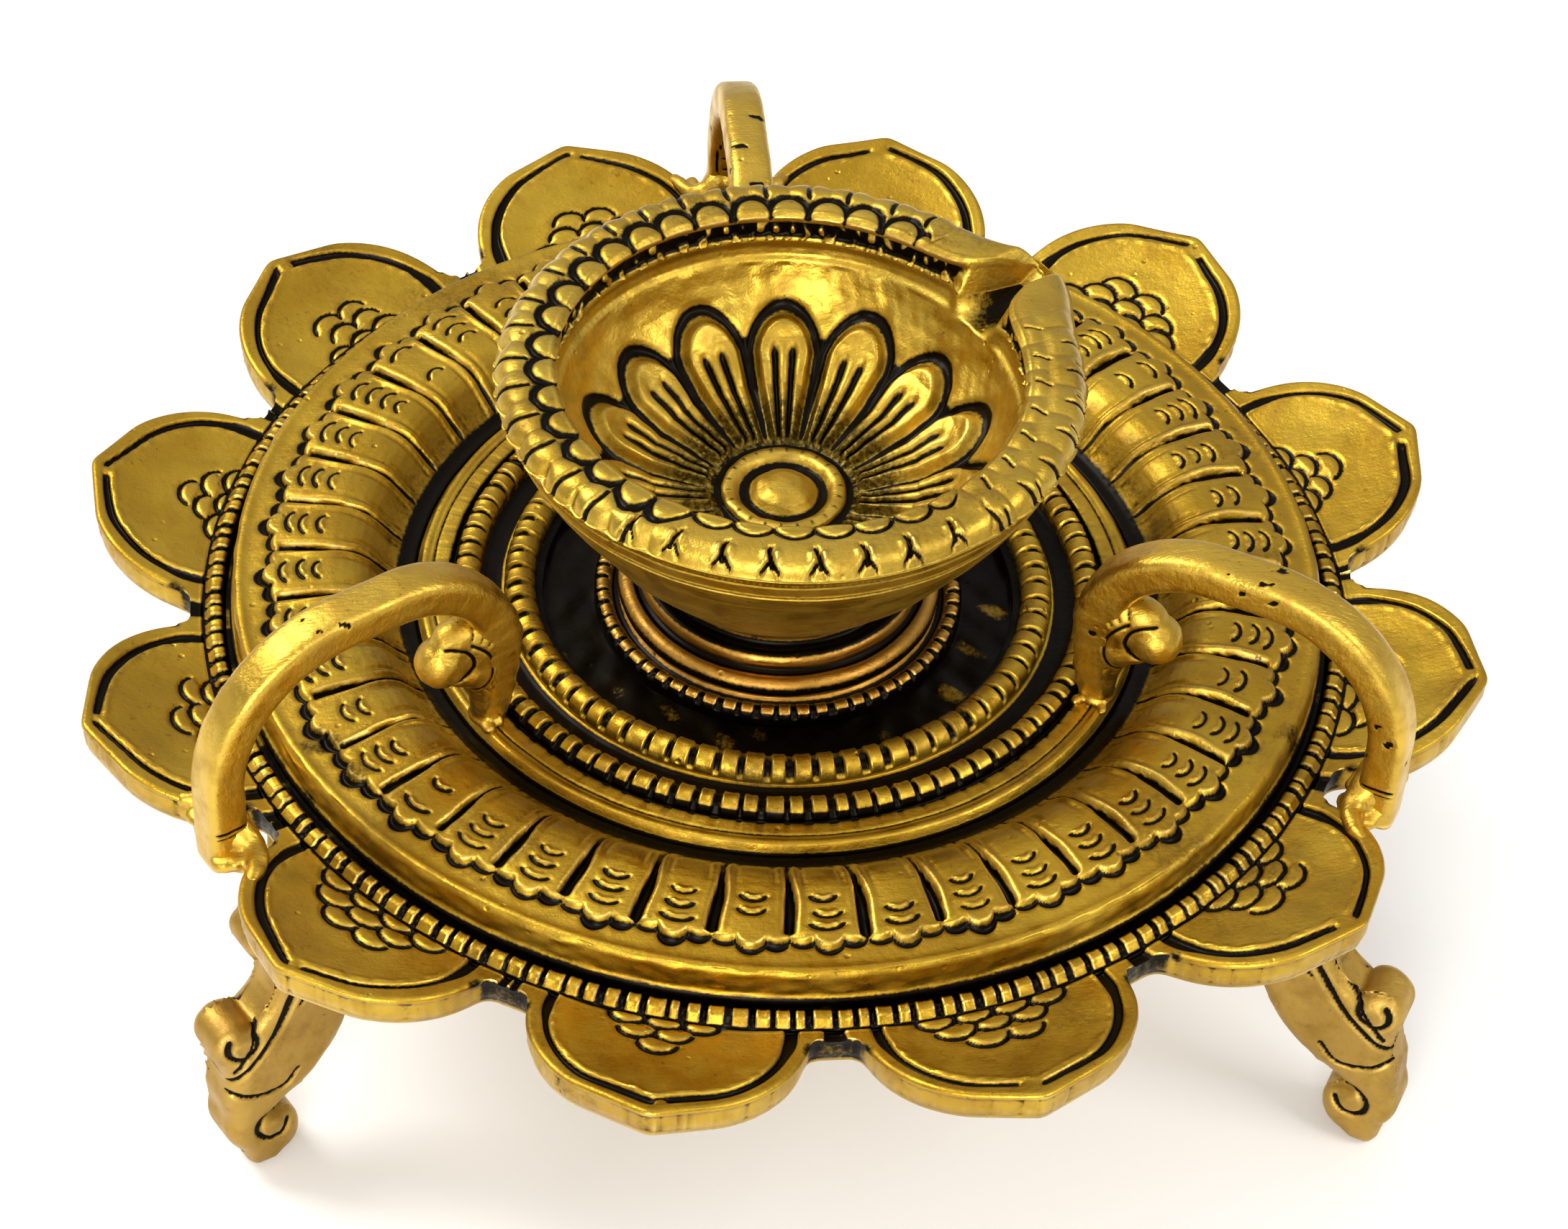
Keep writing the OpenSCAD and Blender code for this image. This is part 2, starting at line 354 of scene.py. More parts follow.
def brass(name, gold, ochre, rough=0.3, scratch=0.25, soot_and_shade=0.5):
    """Cast brass: mottled gold, scratched and pitted, with black oxide in its grooves."""
    material = bpy.data.materials.new(name)
    material.use_nodes = True
    tree = material.node_tree
    tree.nodes.clear()
    add = node_maker(tree)
    link = tree.links.new
    out = add("ShaderNodeOutputMaterial")
    shader = add("ShaderNodeBsdfPrincipled")
    link(shader.outputs["BSDF"], out.inputs["Surface"])
    where, noise, maths, scaled, mix, layer = pattern_tools(add, link)

    coarse = noise(55, 3)
    middle = noise(260, 5)
    fine = noise(1500, 4, roughness=0.7)
    stained = scaled(noise(120, 6, roughness=0.7), 0.52, 0.72)
    ragged = maths("MULTIPLY_ADD", fine, 0.5, -0.25)
    edge = maths("ADD", layer("patina"), ragged)
    black = scaled(edge, 0.26, 0.62)
    halo = scaled(layer("patina"), 0.01, 0.38, 0.0, 0.9)

    colour = mix(scaled(coarse, 0.35, 0.65), gold, ochre)
    colour = mix(scaled(middle, 0.45, 0.72, 0.0, 0.45), colour, UMBER)
    grime = scaled(noise(34, 8, roughness=0.72), 0.5, 0.68, 0.0, soot_and_shade)
    grime = maths("MULTIPLY", grime, scaled(fine, 0.38, 0.6, 0.25, 1.0))
    colour = mix(grime, colour, GRIME)
    colour = mix(maths("MULTIPLY", halo, stained), colour, STAIN)
    colour = mix(scaled(layer("wear"), 0.1, 0.9, 0.0, 0.65), colour, BURNISHED)
    colour = mix(layer("heat"), colour, COPPER)
    speck = scaled(noise(850, 3, roughness=0.8), 0.6, 0.72, 0.0, 0.55)
    speck = maths("MULTIPLY", speck, scaled(coarse, 0.4, 0.6, 0.35, 1.0))
    colour = mix(speck, colour, PIT)
    colour = mix(black, colour, OXIDE)
    link(colour, shader.inputs["Base Color"])

    shader.inputs["Metallic"].default_value = 1.0
    dull = scaled(middle, 0.3, 0.75, rough - 0.05, rough + 0.2)
    dull = maths("SUBTRACT", dull, maths("MULTIPLY", layer("wear"), 0.1), clamp=True)
    dull = maths("ADD", dull, maths("MULTIPLY", halo, 0.12), clamp=True)
    dull = maths("ADD", dull, maths("MULTIPLY", grime, 0.2), clamp=True)
    link(dull, shader.inputs["Roughness"])
    shader.inputs["Coat Weight"].default_value = 0.1
    shader.inputs["Coat Roughness"].default_value = 0.28

    cells = add("ShaderNodeTexVoronoi", feature="F1")
    cells.inputs["Scale"].default_value = 330
    link(where, cells.inputs["Vector"])
    pits = scaled(cells.outputs["Distance"], 0.03, 0.16, -1.0, 0.0)
    pits = maths("MULTIPLY", pits, scaled(noise(90, 2), 0.5, 0.62))
    strokes = noise(500, 3, stretch=(1.0, 6.0, 2.0))
    height = maths("MULTIPLY", fine, 0.5)
    height = maths("ADD", height, maths("MULTIPLY", strokes, scratch))
    height = maths("ADD", height, maths("MULTIPLY", middle, 0.9))
    height = maths("ADD", height, maths("MULTIPLY", pits, 1.4))
    bump = add("ShaderNodeBump")
    bump.inputs["Strength"].default_value = 0.75
    bump.inputs["Distance"].default_value = 0.00019
    link(height, bump.inputs["Height"])
    link(bump.outputs["Normal"], shader.inputs["Normal"])
    return material


antique_brass = brass("antique_brass", (0.51, 0.32, 0.028), (0.38, 0.215, 0.013), rough=0.36, soot_and_shade=0.75)
bowl_brass = brass("bowl_brass", (0.56, 0.375, 0.052), (0.46, 0.285, 0.028), rough=0.34, soot_and_shade=0.6)
handle_brass = brass("handle_brass", (0.57, 0.365, 0.046), (0.51, 0.31, 0.036),
                     rough=0.34, scratch=0.6, soot_and_shade=0.25)
leg_brass = brass("leg_brass", (0.46, 0.285, 0.055), (0.38, 0.225, 0.04), rough=0.45, soot_and_shade=0.4)
copper_brass = brass("copper_brass", (0.48, 0.255, 0.045), (0.38, 0.185, 0.025), rough=0.34, soot_and_shade=0.6)
turned_brass = brass("turned_brass", (0.50, 0.35, 0.08), (0.42, 0.28, 0.06), rough=0.38)


# ---- Lotus tray ----

PETAL_COLUMNS = 150
SHOULDER = (1.5, 75.5)          # centre of a shoulder's arc: across, outwards
SHOULDER_R = 15.3
POINT_ARC = 28                  # the shoulder's arc ends here and the tip begins
WEB_R = 76
GRID_IN_R = 74.15


def petal_side(first, tip, count=40):
    """One side of a petal's edge, from the angle first on its shoulder to the tip."""
    a = np.radians(np.linspace(first, POINT_ARC, count))
    side = np.stack([SHOULDER[0] + SHOULDER_R * np.sin(a), SHOULDER[1] + SHOULDER_R * np.cos(a)], -1)
    return np.vstack([side, resample([side[-1], tip], 0.6)[1:]])


def softened(line, rounds):
    """The line with its corners rounded, its ends kept."""
    line = resample(line, 0.15)
    for _ in range(rounds):
        line[1:-1] = 0.5 * line[1:-1] + 0.25 * (line[:-2] + line[2:])
    return line


def petal_edge(tip):
    """The whole edge of a petal with half of the web on either side, evenly spaced."""
    web = np.radians(np.array([15, 14.2, 13.5, 13]))
    start = np.stack([WEB_R * np.sin(web), WEB_R * np.cos(web)], -1)
    right = np.vstack([start, petal_side(86, tip)])
    left = np.vstack([start, petal_side(86, tip * [-1, 1])]) * [-1, 1]
    line = softened(np.vstack([left, right[-2::-1]]), 50)
    length = along(line)
    even = np.linspace(0, length[-1], PETAL_COLUMNS + 1)
    return np.stack([np.interp(even, length, line[:, k]) for k in (0, 1)], -1)


def scale_cluster(x, y, rng):
    """Overlapping scales engraved at a petal's root: heights and black lines."""
    height = np.zeros_like(x)
    line = np.zeros_like(x)
    shift = rng.uniform(-0.9, 0.9)
    size = rng.uniform(0.95, 1.12)
    counts = [(3, 2, 1), (3, 2, 2), (4, 3, 2), (3, 3, 1)][rng.integers(4)]
    for row in (2, 1, 0):
        centre_y = 73.9 + 2.4 * row + rng.uniform(-0.15, 0.15)
        for i in range(counts[row]):
            centre_x = shift + (i - (counts[row] - 1) / 2) * 4.5 * size + 0.7 * (row % 2)
            half = rng.uniform(2.15, 2.5) * size
            away = np.hypot((x - centre_x) / half, (y - centre_y) / (half * 0.8)) - 1
            reach = np.where(y > centre_y - 0.35, away * half * 0.9, 9.0)
            inside = reach < 0
            height = np.where(inside, 0.14 + 0.14 * np.clip(-reach, 0, 1), height)
            line = np.where(inside, 0.0, line)
            heavy = 0.26 + 0.12 * ridge(x - centre_x, 0.8 * half)
            cut = ridge(reach - 0.1, heavy) * ramp(y, centre_y - 0.3, centre_y + 0.4)
            height -= 0.5 * cut
            line = np.maximum(line, cut)
    return height, line


def petal_relief(x, y, edge_line, tip, rng):
    """Height of a petal's upper face over its plane, and its black patina."""
    left = petal_side(118, tip * [-1, 1]) * [-1, 1]
    curve = softened(np.vstack([left, petal_side(118, tip)[::-1]]), 70)[::5]
    plan = np.stack([x, y], -1)
    inset = distance_to(plan, curve)
    rim = distance_to(plan, edge_line[PETAL_COLUMNS // 14: -(PETAL_COLUMNS // 14)])
    groove_at = 2.35 - 0.35 * ramp(y, 84, 90) + 0.25 * np.sin(0.3 * x + rng.uniform(0, 6))
    gap_side = rng.choice([-1, 1])
    gap = rng.uniform(0.2, 1.3)
    from_tip = np.hypot(x - tip[0] - gap_side, y - tip[1] + 2.4)
    fade = ramp(from_tip, gap, gap + 0.9)
    heavy = 0.5 + 0.5 * np.sin(0.16 * x * gap_side + 0.1 * y + rng.uniform(0, 6))
    width = 0.36 + 0.26 * heavy + 0.3 * (1 - ramp(y, 75.5, 79))
    cut = ramp(ridge(inset - groove_at, width), 0.15, 0.75) * fade
    uneven = 0.6 + 0.4 * wobble(np.stack([x, y, 0 * x], -1), 1.2, 17)
    burr = ridge(inset - groove_at - 1.05, 0.32) * fade * uneven
    scales, lines = scale_cluster(x, y, rng)
    inner = ramp(inset, groove_at + 0.6, groove_at + 6)
    height = -0.75 * cut + 0.22 * burr - 0.3 * inner + scales * ramp(inset, 2.5, 3.5)
    rounding = np.clip(0.75 - rim, 0, 0.75)
    height -= 0.75 - np.sqrt(np.maximum(0.75 ** 2 - rounding ** 2, 0))
    beside_beads = ramp(74.75 - np.hypot(x, y), 0, 0.4)
    height -= 0.25 * beside_beads
    patina = np.maximum(1.1 * cut, 1.0 * lines) + 0.8 * beside_beads
    notch = ridge(rim, 1.0) * (1 - ramp(y, 76, 79))
    return height, patina + 0.6 * notch


def build_tray():
    """The tray: twelve raised petals round a plate with a flange, one closed casting."""
    rows_out = 1 - (1 - np.linspace(0, 1, 66)) ** 1.25
    side_drop = np.array([0.95, 1.6, 2.3, 3.0, 3.6, 4.0])
    under = np.array([0.0, 0.02, 0.06, 0.2, 0.5, 1.0])
    top_xyz, wall_xyz, low_xyz, darks, wall_darks = [], [], [], [], []
    tip_out = per_item(PETALS, -0.3, -0.06, 3)
    tip_side = per_item(PETALS, -1.0, 1.0, 4)
    lift = per_item(PETALS, -0.55, 0.0, 5)
    for k in range(PETALS):
        rng = np.random.default_rng(100 + k)
        tip = np.array([tip_side[k], TIP_R + tip_out[k]])
        edge = petal_edge(tip)
        spin = np.arctan2(edge[:, 0], edge[:, 1])
        t = np.linspace(-1, 1, PETAL_COLUMNS + 1)
        inner_angle = 0.55 * t * HALF_PITCH + 0.45 * spin
        inner = GRID_IN_R * np.stack([np.sin(inner_angle), np.cos(inner_angle)], -1)
        edge, inner = edge[:-1], inner[:-1]
        grid = inner[None] + (edge - inner)[None] * rows_out[:, None, None]
        x, y = grid[..., 0], grid[..., 1]
        relief, dark = petal_relief(x, y, edge, tip, rng)
        radius = np.hypot(x, y)
        rise = (PETAL_RISE + lift[k]) / (TIP_R - ROOT_R)
        plane = rise * np.maximum(0, radius - ROOT_R)
        away = math.pi / 2 + (k + 0.5) * TWO_PI / PETALS
        cos, sin = math.cos(-away), math.sin(-away)

        def turned(px, py, pz):
            return np.stack([px * cos - py * sin, px * sin + py * cos, pz], -1)

        top = turned(x, y, plane + relief)
        edge_plane = plane[-1]
        tangent = np.gradient(edge, axis=0)
        outward = np.stack([-tangent[:, 1], tangent[:, 0]], -1)
        outward /= np.linalg.norm(outward, axis=1)[:, None]
        edge_at = np.stack([edge[:, 0], edge[:, 1], 0 * edge[:, 0]], -1)
        filed = 0.12 * wobble(edge_at, 1.1, 40 + k) + 0.08 * wobble(edge_at, 2.6, 60 + k)
        belly = -0.12 - np.abs(filed)[None] - 0.35 * ridge(side_drop[:, None] - 4.3, 0.7)
        wall_plan = edge[None] + outward[None] * belly[..., None]
        wall = turned(wall_plan[..., 0], wall_plan[..., 1], edge_plane[None] - side_drop[:, None])
        low_radius = np.hypot(edge[:, 0], edge[:, 1])
        low_in = edge * ((ROOT_R - 0.5) / low_radius)[:, None]
        low_plan = (edge - 0.55 * outward) + (low_in - edge)[None] * under[:, None, None]
        low_r = np.hypot(low_plan[..., 0], low_plan[..., 1])
        low = turned(low_plan[..., 0], low_plan[..., 1], rise * np.maximum(0, low_r - ROOT_R) - PETAL_THICK)
        top_xyz.append(top)
        wall_xyz.append(wall)
        low_xyz.append(low)
        darks.append(dark)
        near_notch = 1 - ramp(low_radius, 76.3, 79)
        marks = 0.3 * ramp(np.abs(filed), 0.09, 0.2)
        wall_darks.append(np.broadcast_to(np.maximum(0.55 * near_notch, marks), wall.shape[:2]))
    top = np.concatenate(top_xyz, axis=1)
    wall = np.concatenate(wall_xyz, axis=1)
    low = np.concatenate(low_xyz, axis=1)
    turn = np.arctan2(top[0, :, 1], top[0, :, 0])

    def rings(profile):
        profile = np.asarray(profile, float)
        r, z = profile[:, 0:1], profile[:, 1:2]
        return ring_points(r, z, turn)

    well_r = np.linspace(24, 30.8, 16)
    plate_top = rings(np.vstack([
        [(HOLE_R, PLATE_Z + 0.3), (HOLE_R, SEAT - 0.2), (3.3, SEAT), (15, SEAT), (23, SEAT)],
        np.stack([well_r, SEAT - 0.3 + 0 * well_r], -1),
        [(31, SEAT), (50, SEAT), (71.4, SEAT), (71.6, SEAT), (71.7, -0.5), (71.9, -0.35), (73.2, -0.35),
         (73.9, -0.3)],
    ]))
    plate_r = np.hypot(plate_top[..., 0], plate_top[..., 1])
    in_well = ramp(plate_r, 23.2, 24.4) * (1 - ramp(plate_r, 30.2, 31))
    plate_top[..., 2] += 0.16 * in_well * wobble(plate_top, 3.6, 62)
    plate_low = rings([(ROOT_R - 1.5, -PETAL_THICK), (70, -PETAL_THICK), (65, -PETAL_THICK),
                       (64.2, -PETAL_THICK), (64, -PETAL_THICK + 0.15), (63.8, PLATE_Z), (60, PLATE_Z),
                       (40, PLATE_Z), (20, PLATE_Z), (5, PLATE_Z), (3.3, PLATE_Z)])
    top[0, :, 2] = -0.3
    grid = np.concatenate([plate_top, top, wall, low, plate_low], axis=0)
    dark = np.zeros(grid.shape[:2])
    first = len(plate_top)
    # Painted shade: the plate is painted near black from r 18 outwards, so the deep well between the
    # pedestal and the dish's bead rings reads as shadow, in patches.
    well_shade_patches = np.clip(0.9 + 0.3 * wobble(plate_top, 5, 63), 0.4, 1)
    dark[:first] = ramp(plate_r, 18, 22) * well_shade_patches
    dark[first:first + len(top)] = np.concatenate(darks, axis=1)
    dark[first + len(top):first + len(top) + len(wall)] = np.concatenate(wall_darks, axis=1)
    fade_in = ramp(np.arange(len(top)), 2, 9)[:, None]
    grid[first:first + len(top), :, 2] += 0.05 * wobble(top, 9, 61) * fade_in
    faces = quads_between(grid.shape[0], grid.shape[1], True)
    points = grid.reshape(-1, 3)
    return add_mesh("lotus_tray_cast", points, facing_out(points, faces), dark)


def swept_ring(name, section, columns, offset, patina, step=0.25, **options):
    """A closed ring of revolution whose surface is moved along its own normal.

    offset(r, z, angle), in mm, and patina(r, z, angle), from 0 to 1, give arrays
    for the grid.
    """
    line = resample(np.vstack([section, section[:1]]), step)[:-1]
    ahead, behind = np.roll(line, -1, 0), np.roll(line, 1, 0)
    tangent = ahead - behind
    tangent /= np.linalg.norm(tangent, axis=1)[:, None]
    area = np.sum(line[:, 0] * np.roll(line[:, 1], -1) - np.roll(line[:, 0], -1) * line[:, 1])
    normal = np.stack([tangent[:, 1], -tangent[:, 0]], -1) * np.sign(area)
    angle = np.linspace(0, TWO_PI, columns, endpoint=False)[None, :]
    r, z = line[:, 0:1], line[:, 1:2]
    push = offset(r, z, angle)
    dark = patina(r, z, angle) + 0 * push
    return add_ring(name, r + push * normal[:, 0:1], z + push * normal[:, 1:2], angle, dark, **options)


def slots(angle, count, width, seed, jitter=0.12):
    """1 in the narrow slots between beads round a ring, 0 on the beads, and each bead's swell."""
    turn = angle / TWO_PI * count
    index = np.round(turn).astype(int) % count
    moved = fraction(turn - per_item(count, -jitter, jitter, seed)[index] * 0.5)
    wide = width * per_item(count, 0.7, 1.25, seed + 1)[index]
    return 1 - ramp(np.abs(moved), 0.4 * wide, wide), np.sin(math.pi * moved) ** 2


def build_border_beads():
    """The ring of square beads between the dish and the petals."""
    section = [(71.7, -0.7), (71.75, 0.2), (71.95, 0.75), (72.3, 0.98), (72.9, 1.0), (73.4, 0.85),
               (73.75, 0.45), (74.05, 0.0), (74.25, -0.25), (74.3, -0.7)]
    count = 184
    missing = per_item(count, 0, 1, 15)

    def offset(r, z, angle):
        slot, swell = slots(angle, count, 0.22, 11, 0.34)
        index = np.round(angle / TWO_PI * count).astype(int) % count
        slot = slot * np.where(missing[index] < 0.06, 0.25, 1.0)
        depth = 0.8 * ramp(z, -0.3, 0.2)
        ring = ring_points(r, z, angle)
        return -depth * slot - 0.12 * swell * ramp(z, 0, 0.6) + 0.06 * wobble(ring, 2.2, 12)

    def patina(r, z, angle):
        slot, _ = slots(angle, count, 0.24, 11, 0.34)
        inside = 1 - ramp(r, 71.7, 71.95)
        return 1.1 * slot + (1 - ramp(z, -0.35, 0.0)) + inside

    return swept_ring("border_beads", section, count * 11, offset, patina, step=0.22, gain=2.0)


# ---- Fluted dish ----

def dish_height(r):
    """Crown and inner slope of the dish's lobes, without their grooves."""
    slope = np.interp(r, [47.4, 48.6, 49.8, 50.8, 52, 53, 54, 55, 56.2, 57.6, 60, 63, 67],
                      [0.5, 0.5, 1.1, 2.0, 3.45, 4.6, 5.35, 5.85, 6.2, 6.4, 6.45, 6.35, 6.1])
    return slope


def dish_relief(r, angle):
    """Height and patina of the dish's lobed face."""
    turn = angle / TWO_PI * LOBES
    lobe = np.round(turn).astype(int) % LOBES
    groove = np.floor(turn).astype(int) % LOBES
    a = fraction(turn)
    pitch = TWO_PI * r / LOBES
    x = a * pitch
    swell = per_item(LOBES, -0.25, 0.25, 21)[lobe]
    edge_r = 64.6 + swell + 0 * a
    pocket = np.zeros_like(a + r)
    for j, (centre, half, reach) in enumerate(((-0.33, 0.18, 1.0), (0.0, 0.21, 2.0), (0.33, 0.18, 1.0))):
        inside = np.maximum(1 - ((a - centre) / half) ** 2, 0)
        edge_r = np.maximum(edge_r, 64.6 + swell + reach * np.sqrt(inside))
        black = ramp(per_item(LOBES, 0, 1, 60 + j)[lobe], 0.25, 0.6)
        pocket = np.maximum(pocket, (0.35 + 0.65 * black) * np.sqrt(inside))
    band = 5.3 - 0.05 * (r - 65)
    top = dish_height(r) - 0.55 * np.abs(2 * a) ** 3 * ramp(r, 50, 54)
    away = r - edge_r
    lobed = 1 - ramp(away, -0.35, 0.3)
    height = band + (top - band) * np.where(r < 60, 1.0, lobed)
    deep = 0.3 + 0.3 * pocket
    foot = ridge(away - 0.35 - 0.2 * pocket, deep) * ramp(r, 60, 62)
    black_edge = foot * (0.45 + 0.55 * pocket)
    height -= 0.5 * foot * (0.5 + 0.5 * pocket)

    wide = per_item(LOBES, 0.8, 1.2, 23)[groove]
    ends = per_item(LOBES, 64.2, 65.2, 24)[groove]
    half = (0.3 + 0.34 * ramp(r, 55.5, 60.5)) * wide
    lean = 0.5 * np.sin(0.55 * (r - 57) + 6 * wide)
    left_of_groove = a >= 0
    side = np.abs((0.5 - np.abs(a)) * pitch * np.where(left_of_groove, 1, -1) + 0.25 * lean)
    inside = 1 - ramp(side, 0.6 * half, 1.15 * half)
    run = ramp(r, 49.3, 50.4) * (1 - ramp(r, ends - 0.5, ends + 0.2))
    cut = inside * run
    height -= (0.55 + 0.6 * ramp(r, 54, 58)) * cut
    roll = np.where(left_of_groove, 0.3 + 0.5 * (1 - ramp(r, 54, 57)), 1.0)
    rib = ridge(side - half - 0.55, 0.42) * run * (1 - 0.55 * ramp(r, 60, 64))
    height += 0.4 * rib * roll
    height -= 0.25 * ridge(side - half - 1.35, 0.3) * run * (1 - ramp(r, 55, 58))

    marks = np.zeros_like(height)
    for j, at in enumerate((57.3, 59.5, 61.7, 63.7)):
        shift = per_item(LOBES, -0.3, 0.3, 30 + j)[lobe]
        shown = per_item(LOBES, 0.0, 1.0, 40 + j)[lobe]
        shown = np.where(shown < (0.75 if j == 0 else 0.1), 0.0, 0.6 + 0.4 * shown)
        half_x = 1.05 + 0.16 * j + 0.2 * per_item(LOBES, 0, 1, 50 + j)[lobe]
        centre = at + 0.5 * shift - 0.5
        arc_way = (np.hypot((x - 0.6 * shift) / half_x, (r - centre) / 0.95) - 1) * 0.95
        open_way = ramp(r - centre, -0.1, 0.2)
        dark_arc = open_way * ridge(arc_way - 0.12, 0.26)
        height += shown * open_way * 0.3 * ridge(arc_way + 0.38, 0.3) - shown * 0.42 * dark_arc
        marks = np.maximum(marks, shown * dark_arc)
    well = 1 - ramp(r, 48.8, 50.6)
    hollow = 0.34 * (1 - ramp(r, 51, 55))
    patina = np.maximum.reduce([1.05 * cut, 1.15 * black_edge, 0.95 * marks, 0.9 * well + 0 * a,
                                hollow + 0 * a])
    return height, patina


def build_outer_dish():
    """The lobed ring of the dish, from its well out to its rolled lip."""
    columns = LOBES * 36
    angle = np.linspace(0, TWO_PI, columns, endpoint=False)[None, :]
    r_top = np.concatenate([np.arange(47.4, 49.4, 0.4), np.arange(49.4, 67.4, 0.24),
                            np.arange(67.6, 68.6, 0.4)])
    height, dark = dish_relief(r_top[:, None] + 0 * angle, angle + 0 * r_top[:, None])
    lip = arc((69.5, 4.35), 1.0, 118, -5, 12)
    wall = resample([lip[-1], (70.5, 3.2), (70.45, 1.6), (70.75, 1.15), (DISH_R - 0.05, 0.9)], 0.35)[1:]
    base = resample([wall[-1], (DISH_R - 0.05, SEAT + 0.1), (DISH_R - 0.2, SEAT), (47.5, SEAT),
                     (47.4, SEAT + 0.1)], 6)[1:]
    close = np.vstack([lip, wall, base])
    close_r = close[:, 0:1] + 0 * angle
    close_z = close[:, 1:2] + 0 * angle
    ring = np.stack([close_r * np.cos(angle), close_r * np.sin(angle), close_z * 3], -1)
    outer = ((close[:, 0] > 70) & (close[:, 1] > 1.2))[:, None]
    close_r = close_r + outer * (0.07 * wobble(ring, 3.0, 66) - 0.09)
    streaks = np.stack([ring[..., 0] * 0.5, ring[..., 1] * 0.5, close_z * 3.2], -1)
    stain = 0.45 + 0.35 * wobble(ring, 16, 67) + 0.4 * wobble(streaks, 4, 68)
    stain = np.clip(stain, 0, 1) * outer * ramp(-close_z, -4.2, -3.0)
    foot_black = (close[:, 0:1] > 70) * (1 - ramp(close_z, 0.9, 1.5))
    radius = np.concatenate([r_top[:, None] + 0 * angle, close_r])
    z = np.concatenate([height, close_z])
    dark = np.concatenate([dark, np.maximum(0.3 * stain, foot_black)])
    beside_arm = np.zeros_like(angle)
    for degrees in ARM_DEG.values():
        off_arm = 360 * fraction((angle - math.radians(degrees)) / TWO_PI)
        beside_arm = np.maximum(beside_arm, ridge(off_arm, 11))
    surface = np.stack([radius * np.cos(angle), radius * np.sin(angle), z], -1)
    # Painted shade: the dish's lobes are darkened in blotches under each handle's arch.
    soot_and_shade = np.clip(0.35 + 0.5 * wobble(surface, 5, 69), 0, 1) * beside_arm * ramp(radius, 60, 66)
    dark = np.maximum(dark, 0.5 * soot_and_shade)
    return add_ring("dish_lobes", radius, z, angle, dark, reach=6, gain=2.2)


def build_inner_dish():
    """The dish's two beaded rings and the flat ring outside them."""
    section = np.vstack([
        [(47.35, SEAT), (47.35, 0.35), (47.1, 0.6), (46.7, 1.3), (46.4, 1.72), (45.9, 1.8), (45.5, 1.62),
         (45.1, 1.62), (44.9, 1.4), (44.6, 1.6), (43.4, 1.65), (42.9, 1.6), (42.6, 1.2), (42.4, 0.75)],
        arc((40.4, 1.35), 1.75, -15, 195, 16),
        [(38.4, 0.7), (37.9, 0.45), (36.6, 0.4), (36.0, 0.6)],
        arc((33.6, 1.35), 2.05, -20, 195, 18),
        [(31.2, 0.5), (30.6, 0.4), (30.5, SEAT)],
    ])

    def beads(r, z, angle):
        outer, outer_swell = slots(angle, 92, 0.22, 71)
        inner, inner_swell = slots(angle, 70, 0.21, 73)
        on_outer = ridge(r - 40.5, 1.5) ** 0.5 * ramp(z, 0.9, 1.9)
        on_inner = ridge(r - 33.8, 1.8) ** 0.5 * ramp(z, 0.9, 1.9)
        on_inner = on_inner * (0.55 + 0.45 * ramp(r, 32.8, 34.4))
        return outer * on_outer, inner * on_inner, outer_swell * on_outer, inner_swell * on_inner

    def offset(r, z, angle):
        outer, inner, outer_swell, inner_swell = beads(r, z, angle)
        ring = ring_points(r, z, angle)
        swell = 0.16 * (outer_swell + inner_swell)
        return -0.95 * outer - 1.05 * inner - swell + 0.04 * wobble(ring, 4, 76)

    def patina(r, z, angle):
        outer, inner, _, _ = beads(r, z, angle)
        gaps = np.maximum.reduce([1 - ramp(np.abs(r - 42.3), 0.2, 0.7),
                                  1 - ramp(np.abs(r - 37.3), 1.0, 1.7),
                                  1 - ramp(r, 30.9, 32.2), ramp(r, 46.9, 47.2),
                                  0.5 * (1 - ramp(np.abs(r - 44.9), 0.1, 0.3))])
        return np.maximum.reduce([outer, inner, gaps + 0 * angle])

    return swept_ring("dish_bead_rings", section, 1656, offset, patina, step=0.24, gain=2.0)


def build_pedestal():
    """The stepped foot under the bowl, with a ring of small beads at its base."""
    section = np.vstack([
        [(HOLE_R, SEAT + 0.05), (24.0, SEAT + 0.05)],
        arc((22.8, 0.35), 1.15, 0, 165, 12),
        [(21.4, 0.1), (20.9, 0.35)],
        arc((19.5, 2.0), 1.45, -55, 105, 12),
        [(18.6, 2.95)],
        arc((17.1, 4.5), 1.35, -55, 115, 12),
        [(16.0, 5.9), (15.8, 6.5), (15.85, NECK_Z - 0.12), (15.6, NECK_Z - 0.02),
         (HOLE_R, NECK_Z - 0.02)],
    ])

    def bead(r, z, angle):
        slot, swell = slots(angle, 60, 0.24, 81)
        on = ramp(r, 21.7, 22.1) * ramp(z, 0.2, 0.8)
        return slot * on, swell * on

    def offset(r, z, angle):
        slot, swell = bead(r, z, angle)
        ring = ring_points(r, z, angle)
        return -0.6 * slot - 0.14 * swell + 0.05 * wobble(ring, 5, 83) * ramp(r, 15, 17)

    def patina(r, z, angle):
        slot, _ = bead(r, z, angle)
        gaps = np.maximum.reduce([ridge(r - 21.2, 0.45), ridge(z - 3.05, 0.45) * (r < 19.4),
                                  ridge(z - 5.9, 0.45),
                                  ramp(z, 6.6, 7.3), ramp(r, 23.6, 23.9)])
        return np.maximum(slot, gaps + 0 * angle)

    return swept_ring("pedestal_turned", section, 840, offset, patina, step=0.26)


# ---- Oil bowl ----

def bowl_columns():
    """Angles of the bowl's columns: closer together at the spout."""
    spout = math.radians(SPOUT_DEG)
    wedge = math.radians(27)
    fine = np.linspace(-wedge, wedge, 230, endpoint=False)
    coarse = np.linspace(wedge, TWO_PI - wedge, 800, endpoint=False)
    return np.concatenate([fine, coarse])[None, :], spout


